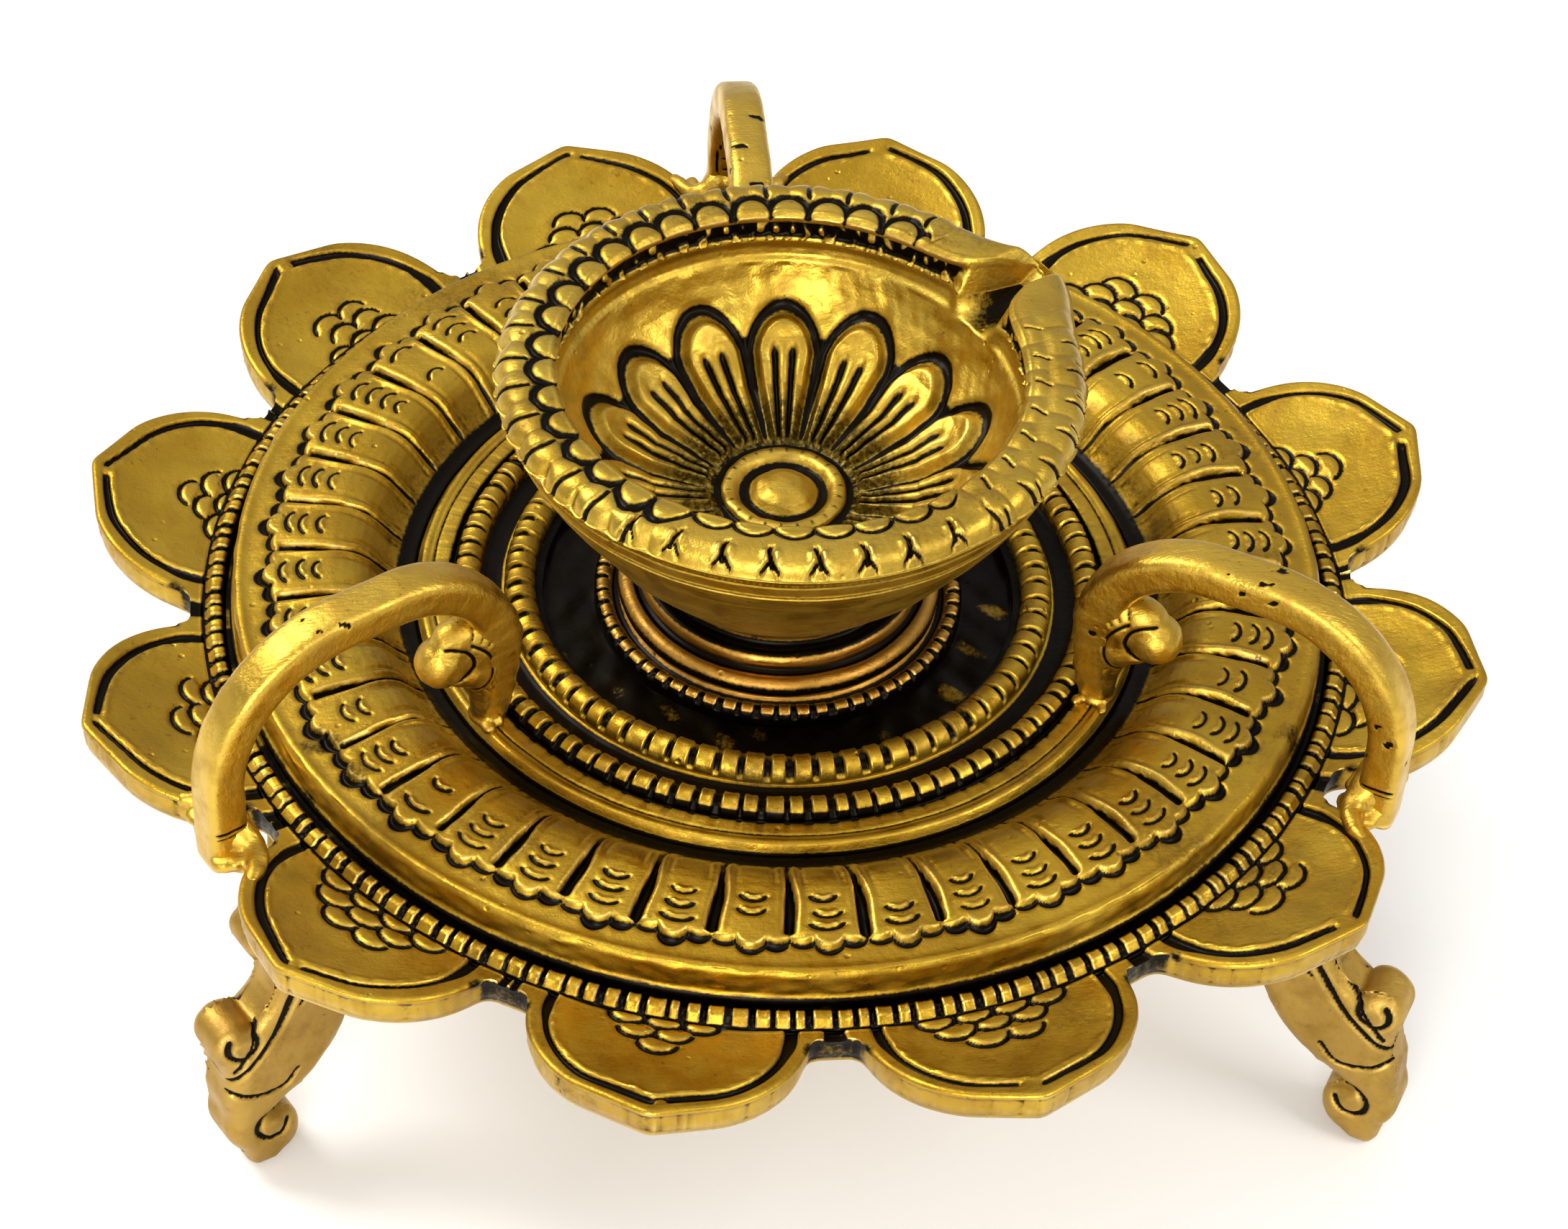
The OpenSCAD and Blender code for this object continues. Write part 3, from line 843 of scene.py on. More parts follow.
def rim_relief(turn, inward):
    """Scales, cuts and ticks on the rim, by angle and distance in mm from its inner edge."""
    deg = np.degrees(turn) % 360
    two_rows = ramp(deg, 44, 54) * (1 - ramp(deg, 228, 244))
    front = ramp(deg, 222, 236) * (1 - ramp(deg, 300, 312))
    right = np.clip(1 - two_rows - front, 0, 1)
    at_spout = 1 - ramp(np.abs((deg - SPOUT_DEG + 180) % 360 - 180), 13, 21)
    right = right * (1 - at_spout)
    two_rows = two_rows * (1 - at_spout)
    count = turn / TWO_PI * RIM_SCALES
    index = np.round(count).astype(int) % RIM_SCALES
    between = np.floor(count).astype(int) % RIM_SCALES
    jitter = per_item(RIM_SCALES, -0.07, 0.07, 91)
    f = fraction(count) - jitter[index]
    g = count - np.floor(count) - 0.5 - jitter[between]
    arc_mm = TWO_PI * 34 / RIM_SCALES

    span = np.maximum(3.3 * two_rows + 2.3 * front, 0.01)
    scaled_rows = ramp(two_rows + front, 0.2, 0.8)
    away = np.hypot(f / 0.5, inward / np.maximum(span, 0.8)) - 1
    cusp = ramp(np.abs(f), 0.3, 0.5) * ramp(inward, 0.4 * span, 1.1 * span) * two_rows
    arc_cut = ridge(away * 2.4 - 0.12, 0.3 + 0.16 * two_rows + 0.3 * cusp) * scaled_rows
    dome = np.clip(-away, 0, 1) * scaled_rows
    height = 0.42 * np.sqrt(dome) - 0.55 * arc_cut
    dark = arc_cut * 1.0

    past = ramp(inward, span * 0.9, span * 1.15)
    tab = ridge(g * arc_mm + 0.3 * np.sin(inward + 5 * jitter[between]), 0.36) * past * two_rows
    height += 0.3 * past * (1 - np.abs(2 * g) ** 3) * two_rows
    height -= 0.6 * tab
    dark = np.maximum(dark, tab)

    depth = per_item(RIM_SCALES, 0.7, 1.15, 92)[between]
    bend = 0.25 * np.sin(1.3 * inward + between)
    stem = ridge(g * arc_mm + bend, 0.24) * ramp(inward, 3.6, 4.2) * (1 - ramp(inward, 6.6, 7.0))
    fork = ridge(np.abs(g * arc_mm) - 0.75 * np.clip(inward - 5.9, 0, 2), 0.24)
    fork = fork * ramp(inward, 5.8, 6.1) * (1 - ramp(inward, 7.0, 7.5))
    crumb = ridge(np.abs(g * arc_mm) - 0.75, 0.35) * ramp(inward, 4.4, 5) * (1 - ramp(inward, 6.3, 7.2))
    chip = np.maximum(stem, 0.8 * fork) * front * depth
    height += -1.0 * chip + 0.3 * crumb * front
    dark = np.maximum(dark, 1.1 * chip)

    wedge = 0.14 + 0.2 * np.clip(inward - 4.6, 0, 3) / 2
    outer_tick = ridge(g * arc_mm - 0.3 * (inward - 6), wedge) * ramp(inward, 4.6, 5.4)
    pair_tick = ridge(g * arc_mm - 1.7, 0.24) * ramp(inward, 6.0, 6.6) * (jitter[between] > 0)
    inner_tick = ridge(f * arc_mm + 0.4 * (inward - 2), 0.26)
    inner_tick = inner_tick * ramp(inward, 0.9, 1.2) * (1 - ramp(inward, 2.8, 3.6))
    tick = np.maximum.reduce([outer_tick, pair_tick, inner_tick]) * right
    height += 0.34 * (1 - np.abs(2 * g) ** 3) * ramp(inward, 2.6, 4.2) * right
    height += 0.3 * (1 - np.abs(2 * f) ** 3) * (1 - ramp(inward, 1.6, 3.0)) * right
    height -= 0.6 * tick
    dark = np.maximum(dark, 0.95 * tick)
    return height, dark, g, two_rows * (1 - at_spout)


def tongue_relief(r, turn):
    """Raised tongues that radiate over the bowl's floor, each split into ribs."""
    count = (turn - math.radians(85.5)) / TWO_PI * BOWL_TONGUES
    index = np.round(count).astype(int) % BOWL_TONGUES
    f = fraction(count)
    pitch = TWO_PI * r / BOWL_TONGUES
    x = f * pitch
    end = 21.3 + per_item(BOWL_TONGUES, -0.4, 0.5, 95)[index]
    half = 0.39 * pitch
    cap = 0.39 * TWO_PI * end / BOWL_TONGUES
    inside = np.where(r < end, half - np.abs(x), cap - np.hypot(x, r - end))
    reach = ramp(r, 9.0, 10.5)
    pad = ramp(inside, -0.2, 0.75) * reach
    crown = 0.25 * np.clip(inside / np.maximum(cap, 1), 0, 1) * reach
    top = 19.6 + 1.6 * per_item(BOWL_TONGUES, 0, 1, 96)[index]
    ribs = ridge((np.abs(x) - 0.32 * half) / np.maximum(0.15 * half, 0.2), 1.0)
    ribs = ribs * (1 - ramp(r, top, top + 2)) * reach
    halo = ridge(inside + 0.8, 0.62) * ramp(r, 12, 19)
    spoon = ridge(np.hypot(x, r - end) / np.maximum(cap, 1), 0.55) * ramp(r, 19, 21)
    height = 1.15 * pad + crown - 0.75 * ribs - 0.55 * halo - 0.3 * spoon
    between = 0.85 * (1 - ramp(inside, -0.5, 0.15)) * reach * (1 - ramp(r, 22.5, 24))
    # Painted shade: the floor is darkened towards the bottom of the bowl, less on the boss.
    shade = 0.5 * (1 - ramp(r, 13, 21)) * (0.4 + 0.6 * ramp(r, 7.4, 8.8))
    dark = np.maximum.reduce([0.95 * ribs, 1.0 * halo, between, shade])
    return height, dark


def bowl_wall(turn, outer):
    """Radii, heights and oxide of the bowl's outside, from its neck up to the rim."""
    side = resample([(16.25, NECK_Z + 0.3), (16.5, 8.2), (17.6, 8.9), (18.2, 9.3), (20.6, 11.7),
                     (25.6, 17.4), (31, 25.2), (33.0, 28.4)], 0.55)
    upper = resample([(33.0, 28.5), (34.4, 30.9), (35.55, 34.2), (36.2, 35.4), (36.78, 36.6)], 0.16)
    wall = np.vstack([side, upper])
    wr, wz = wall[:, 0:1], wall[:, 1:2]
    outward = (outer - (RIM_R - 0.05)) * ramp(wz, 23, 36.2)
    lines = (0.16 * ridge(wz - 32.5, 0.2) + 0.16 * ridge(wz - 31.8, 0.18) - 0.14 * ridge(wz - 32.15, 0.16)
             + 0.14 * ridge(wz - 34.5, 0.18) - 0.16 * ridge(wz - 35.05, 0.18))
    grains = 0.17 * ridge(wz - 35.6, 0.24) * (0.45 + 0.55 * np.cos(turn * 300))
    ring = ring_points(wr, wz, turn)
    hand = 0.05 * wobble(ring, 6, 97) * ramp(wz, 9, 12)
    wall_r = wr + outward + lines + grains + hand - 0.05
    wall_z = wz + 0 * turn
    wall_dark = (0.5 * ridge(wz - 32.15, 0.2) + 0.5 * ridge(wz - 35.05, 0.2) + 0.3 * ridge(wz - 34.2, 0.2)
                 + 0.8 * (1 - ramp(wz, 8.2, 9.4)) + 0 * turn)
    wall_dark = wall_dark + 0.22 * np.clip(wobble(ring, 12, 98), 0, 1) * (1 - ramp(wz, 22, 28))
    return wall_r, wall_z, wall_dark


def bowl_floor(turn):
    """Radii, heights and oxide of the bowl's inside, from below its mouth to the boss, with painted shade
    towards the bottom.
    """
    floor = resample([(28.7, 31.6), (27.9, 29.6), (26.8, 27.7), (25.2, 25.8), (23, 23.6), (17.5, 19.9),
                      (11.5, 17.9), (8.7, 17.3), (8.1, 17.4), (7.8, 18.0), (7.2, 18.25), (6.5, 18.2),
                      (6.0, 17.8), (5.6, 17.2), (4.7, 17.0), (4.2, 17.4), (3.5, 18.2),
                      (2.3, 18.8), (0.8, 19.0)], 0.3)[1:]
    fr, fz = floor[:, 0:1] + 0 * turn, floor[:, 1:2] + 0 * turn
    pads, pad_dark = tongue_relief(fr, turn + 0 * fr)
    pads = pads * (1 - ramp(fr, 26.3, 27.6))
    ahead = np.gradient(floor, axis=0)
    ahead /= np.linalg.norm(ahead, axis=1)[:, None]
    lean_r, lean_z = ahead[:, 1:2], -ahead[:, 0:1]
    floor_ring = ring_points(fr, fz, turn)
    rough = 0.07 * wobble(floor_ring, 4.5, 90) + 0.05 * wobble(floor_ring, 1.6, 89)
    push = pads + rough
    fr = fr + lean_r * push
    fz = fz + lean_z * push
    boss_dark = np.maximum(ridge(floor[:, 0:1] - 5.0, 0.7), ridge(floor[:, 0:1] - 8.5, 0.5))
    nick = 0.5 * ridge(floor[:, 0:1] - 7.2, 0.8) * (np.cos(turn * 22) > 0.8)
    pad_dark = pad_dark * (1 - ramp(floor[:, 0:1], 26.3, 27.6))
    floor_dark = np.maximum.reduce([pad_dark, boss_dark + 0 * turn, nick])
    return fr, fz, floor_dark


def build_bowl():
    """The bowl: ringed outside, scaled rim with a wick spout, tongued floor with a boss."""
    local, spout = bowl_columns()
    turn = local + spout
    bent = np.abs((local + math.pi) % TWO_PI - math.pi)
    off_tip = np.clip(np.degrees(bent) - 2.6, 0, None)
    towards_back = (local > 0) & (local < math.pi)
    shoulder = np.where(towards_back, np.exp(-(off_tip / 6.0) ** 1.25), np.exp(-(off_tip / 12.5) ** 2.2))
    outer = RIM_R - 0.05 + SPOUT_REACH * shoulder
    pinch = np.exp(-np.clip(np.degrees(bent) - 1.8, 0, None) / 3.7)
    mouth = np.minimum(MOUTH_R + 0.3 + (RIM_R + SPOUT_REACH - MOUTH_R) * pinch, outer - 0.8)
    swell = (outer - RIM_R) / SPOUT_REACH
    open_tip = 1 - ramp(bent, math.radians(1.2), math.radians(5.5))
    in_channel = ramp(mouth, MOUTH_R + 0.5, MOUTH_R + 3)

    hole = np.array([(3.02, 14.3), (3.02, NECK_Z + 0.3), (3.3, NECK_Z), (10, NECK_Z), (16, NECK_Z),
                     (16.25, NECK_Z + 0.2)])
    wall_r, wall_z, wall_dark = bowl_wall(turn, outer)

    q = (1 - np.cos(np.linspace(0.0, math.pi, 52))) / 2
    q = 0.35 * q + 0.65 * np.linspace(0, 1, 52)
    q = q[:, None]
    width = outer - mouth
    slim = 1 - ramp(width, 1.0, 5.5)
    slim = slim * np.where(towards_back, 0.35, 1.0)
    crown = BOWL_Z - 0.35 - 0.4 * ramp(swell, 0.1, 1.0) - 0.9 * slim - 2.7 * open_tip
    edge_out = 36.7 - 1.3 * open_tip
    edge_in = 37.9 - 2.4 * open_tip
    shape = np.clip(1 - np.abs(2 * q - 1.08) ** 3.2, 0, 1) ** 0.62
    base = edge_out + (edge_in - edge_out) * q
    rim_r = outer - width * q
    rim_z = base + (crown - base) * shape
    inward = np.clip(width * (1 - q), 0, 9)
    relief, rim_dark, g, tabs = rim_relief(turn + 0 * q, inward)
    keep = ramp(width, 3.0, 6.5)
    face = np.clip(shape, 0, 1)
    lip_line = 0.16 * ridge(inward - 0.55, 0.35)
    rim_z = rim_z + (relief + lip_line) * keep * ramp(face, 0.15, 0.75)
    tab_round = -0.85 * np.abs(2 * g) ** 4 * tabs * (1 - ramp(q, 0.0, 0.3))
    rim_r = rim_r + tab_round + relief * keep * (1 - ramp(face, 0.2, 0.8)) * np.where(q < 0.5, 1, -1) * 0.8
    rim_dark = rim_dark * keep + 0.25 * ridge(inward, 0.2)
    rim_z = np.minimum(rim_z, BOWL_Z - 0.02)

    steps = np.linspace(0, 1, 17)[1:, None]
    under = 0.9 * (1 - in_channel)
    under_z = 34.7 - 0.4 * in_channel
    lean_in = 2.2 * in_channel * steps * ramp(swell, 0.0, 0.35)
    cut_r = mouth + under * (ramp(steps, 0.02, 0.2) - 0.55 * ramp(steps, 0.82, 1.0)) - lean_in
    cut_z = edge_in + (under_z - edge_in) * steps
    cut_ring = ring_points(cut_r, cut_z, turn)
    stipple = np.clip(1.3 * wobble(cut_ring, 1.3, 99), 0, 1) * (1 - in_channel)
    cut_r = cut_r - 0.5 * stipple * ramp(steps, 0.15, 0.5)
    cut_dark = 1.1 * ramp(steps, 0.1, 0.22) * (1 - ramp(steps, 0.86, 1.0))
    cut_dark = cut_dark * (1 - in_channel) * (1 - 0.85 * stipple)

    v = np.linspace(0, 1, 20)[1:, None]
    crease = ridge(bent, 0.07)
    from_r = mouth + 0.45 * under - 2.2 * in_channel * ramp(swell, 0.0, 0.35)
    slope_r = from_r + (28.7 - from_r) * v
    slope_z = under_z + (31.6 - under_z) * v ** 1.1
    slope_r = slope_r + 0.5 * ramp(v, 0.1, 0.5) * (1 - in_channel) * (1 - ramp(v, 0.75, 1.0))
    slope_z = slope_z - 0.7 * crease * np.sin(math.pi * v)
    slope_dark = in_channel * (0.8 * crease + 0.3) * (1 - 0.6 * v)

    fr, fz, floor_dark = bowl_floor(turn)
    flat = np.zeros_like(turn)
    radius = np.concatenate([hole[:, 0:1] + flat, wall_r, rim_r, cut_r + flat, slope_r, fr])
    height = np.concatenate([hole[:, 1:2] + flat, wall_z, rim_z, cut_z + flat, slope_z + flat, fz])
    dark = np.concatenate([0.6 + 0 * hole[:, 0:1] + flat, wall_dark, rim_dark + flat, cut_dark + flat,
                           slope_dark + flat, floor_dark])
    row = np.arange(len(radius))[:, None]
    outside = (row >= len(hole)) & (row < len(hole) + len(wall_r))
    heat = 0.5 * outside * (1 - ramp(height, 14, 27))
    heat = np.append(heat.ravel(), [0, 0])
    centres = [[0, 0, height[0].mean()], [0, 0, height[-1].mean()]]
    dark = np.append(dark, [dark[0].mean(), dark[-1].mean()])
    return add_capped("oil_bowl_cast", ring_points(radius, height, turn), centres, dark, heat,
                      reach=5, gain=1.8)


# ---- Handles ----

OUTER_BEND_R = 64.6             # centre of the arch's outer bend
INNER_BEND_R = 58               # centre of its inner bend
INNER_END_R = 43.6              # where the arch comes down at its inner end
BUD = (51.4, 0, 14.5)           # middle of the curled bud
CREST = (50.6, 13.0)            # middle of the small scales round it


def handle_path(top):
    """Centre line of a handle in (radius, height), from its post to its inner end."""
    crown = top - BAR_HALF_T
    out_r = POST_R - OUTER_BEND_R
    in_r = INNER_BEND_R - INNER_END_R
    return np.vstack([
        resample([(POST_R, -1.5), (POST_R, crown - out_r)], 0.4)[:-1],
        arc((OUTER_BEND_R, crown - out_r), out_r, 0, 90, 70)[:-1],
        resample([(OUTER_BEND_R, crown), (INNER_BEND_R, crown)], 0.4)[:-1],
        arc((INNER_BEND_R, crown - in_r), in_r, 90, 180, 56)[:-1],
        resample([(INNER_END_R, crown - in_r), (43.9, 7.5), (44.5, 1.7)], 0.4),
    ])


# Shares of a bar's length at which its width and thickness are set.
BAR_STATIONS = [0, 0.1, 0.3, 0.55, 0.72, 0.82, 0.94, 1]


def bar_corner(a, sharp=4.2):
    """Unit outline of the bar's section: a square with worn corners."""
    c, s = np.cos(a), np.sin(a)
    size = (np.abs(c) ** sharp + np.abs(s) ** sharp) ** (-1 / sharp)
    return c * size, s * size


def build_handle_bar(name, azimuth, top, seed):
    """The arched bar of a handle, filed flat on four sides and pitted."""
    path = handle_path(top)
    s = along(path)
    total = s[-1]
    tangent = np.gradient(path, axis=0)
    tangent /= np.linalg.norm(tangent, axis=1)[:, None]
    normal = np.stack([tangent[:, 1], -tangent[:, 0]], -1)
    columns = 56
    a = np.linspace(0, TWO_PI, columns, endpoint=False)[None, :]
    across, along_n = bar_corner(a)
    share = (s / total)[:, None]
    half_w = BAR_HALF_W * np.interp(share, BAR_STATIONS, [1.0, 1.0, 0.98, 0.98, 1.0, 1.05, 0.85, 0.6])
    half_t = BAR_HALF_T * np.interp(share, BAR_STATIONS, [1.0, 1.0, 0.98, 1.0, 1.02, 1.15, 0.9, 0.7])
    side = across * half_w * 0.985
    depth = along_n * half_t * 0.97
    points_r = path[:, 0:1] + normal[:, 0:1] * depth
    points_z = path[:, 1:2] + normal[:, 1:2] * depth
    shape = np.stack([points_r, side, points_z], -1)
    filed = 0.10 * wobble(shape, 11, seed) + 0.05 * wobble(shape, 3.2, seed + 1)
    shrink = 1 - (0.02 + 0.5 * np.abs(filed) / 2.8)
    side = side * shrink
    depth = depth * shrink

    post = ramp(s[:, None], 3.0, 5.0) * (1 - ramp(s[:, None], 11.5, 15.0))
    facing_in = ramp(-along_n, 0.5, 0.95)
    leaf_half = 1.9 * np.clip(np.sin(math.pi * np.clip((s[:, None] - 2.5) / 13.0, 0, 1)), 0, 1)
    leaf_edge = ridge(np.abs(side) - leaf_half, 0.22) * facing_in
    leaf_edge = leaf_edge * ramp(s[:, None], 3, 5) * (1 - ramp(s[:, None], 13, 15.5))
    nicks = np.zeros_like(side)
    for at in (5.6, 7.4, 9.4):
        nick = ridge(s[:, None] - at + 0.12 * side, 0.18) * (np.abs(side) < 1.4)
        nicks = np.maximum(nicks, nick * facing_in)
    side_nick = np.zeros_like(side)
    for at in (4.6, 5.5, 6.4):
        cut = ridge(s[:, None] - at, 0.16) * ramp(np.abs(across), 0.8, 0.98) * post
        side_nick = np.maximum(side_nick, cut)
    depth = depth + 0.28 * leaf_edge + 0.35 * nicks
    side = side * (1 - 0.09 * side_nick)
    head = ramp(share, 0.70, 0.80)
    knuckle = head * np.cos(s[:, None] * 2.2 + 1.2 * np.abs(across))
    depth = depth + np.sign(depth) * 0.1 * knuckle * ramp(np.abs(along_n), 0.4, 0.9)
    pit_field = wobble(shape * [1, 1, 1], 1.7, seed + 2) * ramp(wobble(shape, 15, seed + 3), 0.0, 0.8)
    pits = ramp(pit_field, 1.15, 1.6)
    side = side * (1 - 0.06 * pits)
    depth = depth * (1 - 0.06 * pits)
    r = path[:, 0:1] + normal[:, 0:1] * depth
    z = path[:, 1:2] + normal[:, 1:2] * depth
    dark = np.maximum.reduce([0.75 * leaf_edge, nicks, 0.8 * side_nick, 0.8 * pits,
                              0.3 * ramp(-knuckle, 0.4, 0.9)])
    hot = np.clip(1 - s[:, None] / 5.0, 0, 1) * 0.35 + 0.35 * ramp(share, 0.88, 0.97) + 0 * side
    return tube_mesh(name, r, side, z, azimuth, dark, hot)


def upright(r, side, z, azimuth):
    """Points given as (radius, sideways, height) in a vertical plane at an azimuth."""
    c, s = math.cos(azimuth), math.sin(azimuth)
    return np.stack([r * c - side * s, r * s + side * c, z], -1)


def tube_mesh(name, r, side, z, azimuth, dark, hot):
    """A tube of rows by columns, closed at either end."""
    points = upright(r, side, z, azimuth)
    centres = [points[0].mean(0), points[-1].mean(0)]
    dark, hot = np.append(dark, [0, 0]), np.append(hot, [0, 0])
    return add_capped(name, points, centres, dark, hot, reach=4)


def ball(centre, size, squash=(1, 1, 1)):
    """An icosphere as (points, faces) in local handle coordinates."""
    bm = bmesh.new()
    bmesh.ops.create_icosphere(bm, subdivisions=4, radius=1)
    points = np.array([v.co for v in bm.verts]) * np.array(squash) * size + np.array(centre)
    faces = np.array([[v.index for v in f.verts] for f in bm.faces])
    bm.free()
    return points, faces


def limb(path, sizes):
    """A round limb: overlapping balls along points, whose sizes are given at even steps."""
    shells = []
    path = resample(path, 0.8)
    sizes = np.interp(along(path), np.linspace(0, along(path)[-1], len(sizes)), sizes)
    for point, size in zip(path, sizes):
        shells.append(ball(point, size))
    return shells


def fused(name, shells, voxel):
    """One closed mesh round overlapping shells, in mm."""
    points, faces, start = [], [], 0
    for shell_points, shell_faces in shells:
        points.append(shell_points)
        faces.append(shell_faces + start)
        start += len(shell_points)
    mesh = bpy.data.meshes.new(name + "_raw")
    mesh.from_pydata(np.vstack(points).tolist(), [], np.vstack(faces).tolist())
    obj = bpy.data.objects.new(name + "_raw", mesh)
    bpy.context.scene.collection.objects.link(obj)
    remesh = obj.modifiers.new("fuse", "REMESH")
    remesh.mode = "VOXEL"
    remesh.voxel_size = voxel
    evaluated = obj.evaluated_get(bpy.context.evaluated_depsgraph_get())
    done = bpy.data.meshes.new_from_object(evaluated)
    count = len(done.vertices)
    co = np.empty(count * 3)
    done.vertices.foreach_get("co", co)
    faces = np.array([list(p.vertices) for p in done.polygons])
    bpy.data.objects.remove(obj)
    bpy.data.meshes.remove(mesh)
    bpy.data.meshes.remove(done)
    return co.reshape(-1, 3), faces


def foot_mm(side):
    """Middle of a leg's foot, from the part's own record."""
    mounts = {mount["name"]: mount["pos_m"] for mount in frame["record"]["mounts"]}
    return Vector(mounts["foot_" + side]) / MM


def petal_height(r):
    return PETAL_RISE / (TIP_R - ROOT_R) * np.maximum(0, r - ROOT_R)


def build_handle_ends(name, azimuth, seed):
    """A handle's curled bud and crest at its inner end, its claws and its brazing."""
    rng = np.random.default_rng(seed)
    shells = [ball(BUD, 3.4, (1.0, 0.98, 1.0)), ball((48.9, 0, 17.4), 2.9, (1.3, 0.95, 0.95)),
              ball((46.4, 0, 15.8), 3.9, (0.95, 0.86, 1.15)),
               ball((46.2, 0, 11.8), 3.5, (0.95, 0.92, 1.05)),
              ball((48.4, 0, 11.2), 2.3, (1.15, 0.9, 0.8)), ball((44.9, 0, 1.95), 2.1, (1.1, 1.25, 0.4)),
              ball((42.6, 0, 9.6), 1.35, (0.9, 1.1, 1.0))]
    shells += limb([(45.6, 0, 10.4), (45.0, 0, 6.5), (44.7, 0, 2.4)], (2.9, 2.2, 2.1))
    for side in (-1, 1):
        reach = rng.uniform(0.92, 1.05)
        claw = np.array([(81.4, side * 1.2, 1.0), (80.4, side * 3.4, 0.1), (80.8, side * 5.4, -0.2),
                         (82.2, side * 7.2 * reach, -0.5), (83.6, side * 8.2 * reach, -0.9)])
        claw[:, 2] += petal_height(np.hypot(claw[:, 0], claw[:, 1]))
        claw[:, 0] = np.minimum(claw[:, 0], 85.8)
        shells += limb(claw, (2.4, 1.7, 1.4, 1.25, 1.0))
    for _ in range(22):
        spot = (rng.uniform(78.8, 84.0), rng.uniform(-5.5, 5.5), rng.uniform(-0.3, 1.2))
        shells.append(ball(spot, rng.uniform(0.9, 2.0), (1, 1, 0.65)))
    for _ in range(5):
        spot = (rng.uniform(42.8, 46.6), rng.uniform(-2.6, 2.6), rng.uniform(1.6, 2.2))
        shells.append(ball(spot, rng.uniform(0.6, 1.1), (1, 1.2, 0.8)))
    points, faces = fused(name, shells, 0.24)
    edges = edges_of(faces)
    points = relaxed(points, edges, 7)
    smooth = relaxed(points, edges, 16)
    on_head = ramp(points[:, 2], 7.5, 9.0)[:, None] * (points[:, :1] < 60)
    points = points + (smooth - points) * on_head
    r, side, z = points.T
    eye = np.hypot(r - BUD[0], z - BUD[2])
    off_middle = ramp(np.abs(side), 0.9, 1.7)
    around = np.arctan2(z - BUD[2], r - BUD[0])
    ring = ridge(eye - 3.3, 0.3) * off_middle * ramp(np.abs(around), 1.2, 1.6)
    middle = ridge(eye - 1.2 - 0.2 * around, 0.24) * off_middle * (around < 1.6) * 0.4
    head = (r < 56) * (z > 8.0)
    crest = np.hypot(r - CREST[0], z - CREST[1])
    step = np.arctan2(z - CREST[1], r - CREST[0]) * 5.0
    ticks = ridge(fraction(step) * 1.1, 0.17) * (r < 49)
    ticks = ticks * ramp(crest, 5.4, 6.0) * (1 - ramp(crest, 7.4, 8.2))
    brow = ridge(crest - 5.1, 0.3) * off_middle * (r < 48.5)
    scales = np.maximum(0.7 * ticks, brow) * head
    inwards = 0.28 * ring + 0.3 * scales + 0.05 * middle + 0.07 * np.abs(wobble(points, 2.2, seed + 5))
    centre = np.stack([0.35 * (49 - r), -side, 0 * z], -1) * head[:, None]
    centre /= np.maximum(np.linalg.norm(centre, axis=1), 1e-6)[:, None]
    points = points + centre * inwards[:, None] * head[:, None]
    points = points + 0.10 * (wobble(points, 2.1, seed + 6) * (r > 78))[:, None] * [0, 0.6, 1]
    dark = np.maximum.reduce([0.9 * ring, 0.75 * scales, 0.6 * middle])
    blush = 0.6 * ramp(wobble(points, 6, seed + 7), -0.4, 0.9) + 0.7 * (1 - ramp(eye, 3.2, 4.4))
    hot = np.clip(blush * head + 0.5 * (r > 78) * (z < 3.2), 0, 1)
    placed = upright(points[:, 0], points[:, 1], points[:, 2], azimuth)
    return add_mesh(name, placed, faces, dark, hot, reach=5, gain=3.0)


# ---- Legs ----

def leg_outline():
    """Outline of a leg in (radius, height above the ground), round from pad to pad."""
    return np.vstack([
        [(73.8, PAD_Z), (76.4, PAD_Z - 3.4), (79.0, PAD_Z - 7.4)],
        arc((79.7, 41.6), 2.6, 60, -70, 9),
        arc((86.2, 34), 7, 150, 232, 10),
        arc((85.7, 25.4), 3.5, 140, -30, 12),
        [(88.2, 21.4), (87.8, 19), (88.7, 15)],
        arc((82.2, 9), 6.8, 20, -42, 8),
        [(86.4, 1.2), (85.6, 0.05), (82.6, 0.05)],
        arc((83.2, 5.4), 4.7, 245, 100, 12),
        [(79.6, 11.8), (77.2, 12.8)],
        arc((86.6, 28), 17.6, 237, 165, 12),
        [(70.6, 40), (69.6, 47), (65.4, PAD_Z)],
    ])


def smooth_curve(points, count=60):
    """A smooth curve through given points."""
    points = np.array(points, float)
    t = along(points)
    fine = np.linspace(0, t[-1], count)
    slope = np.gradient(points, t, axis=0)
    i = np.clip(np.searchsorted(t, fine, side="right") - 1, 0, len(t) - 2)
    h = (t[i + 1] - t[i])[:, None]
    u = ((fine - t[i])[:, None]) / h
    a = (2 * u ** 3 - 3 * u ** 2 + 1) * points[i] + (u ** 3 - 2 * u ** 2 + u) * h * slope[i]
    return a + (-2 * u ** 3 + 3 * u ** 2) * points[i + 1] + (u ** 3 - u ** 2) * h * slope[i + 1]


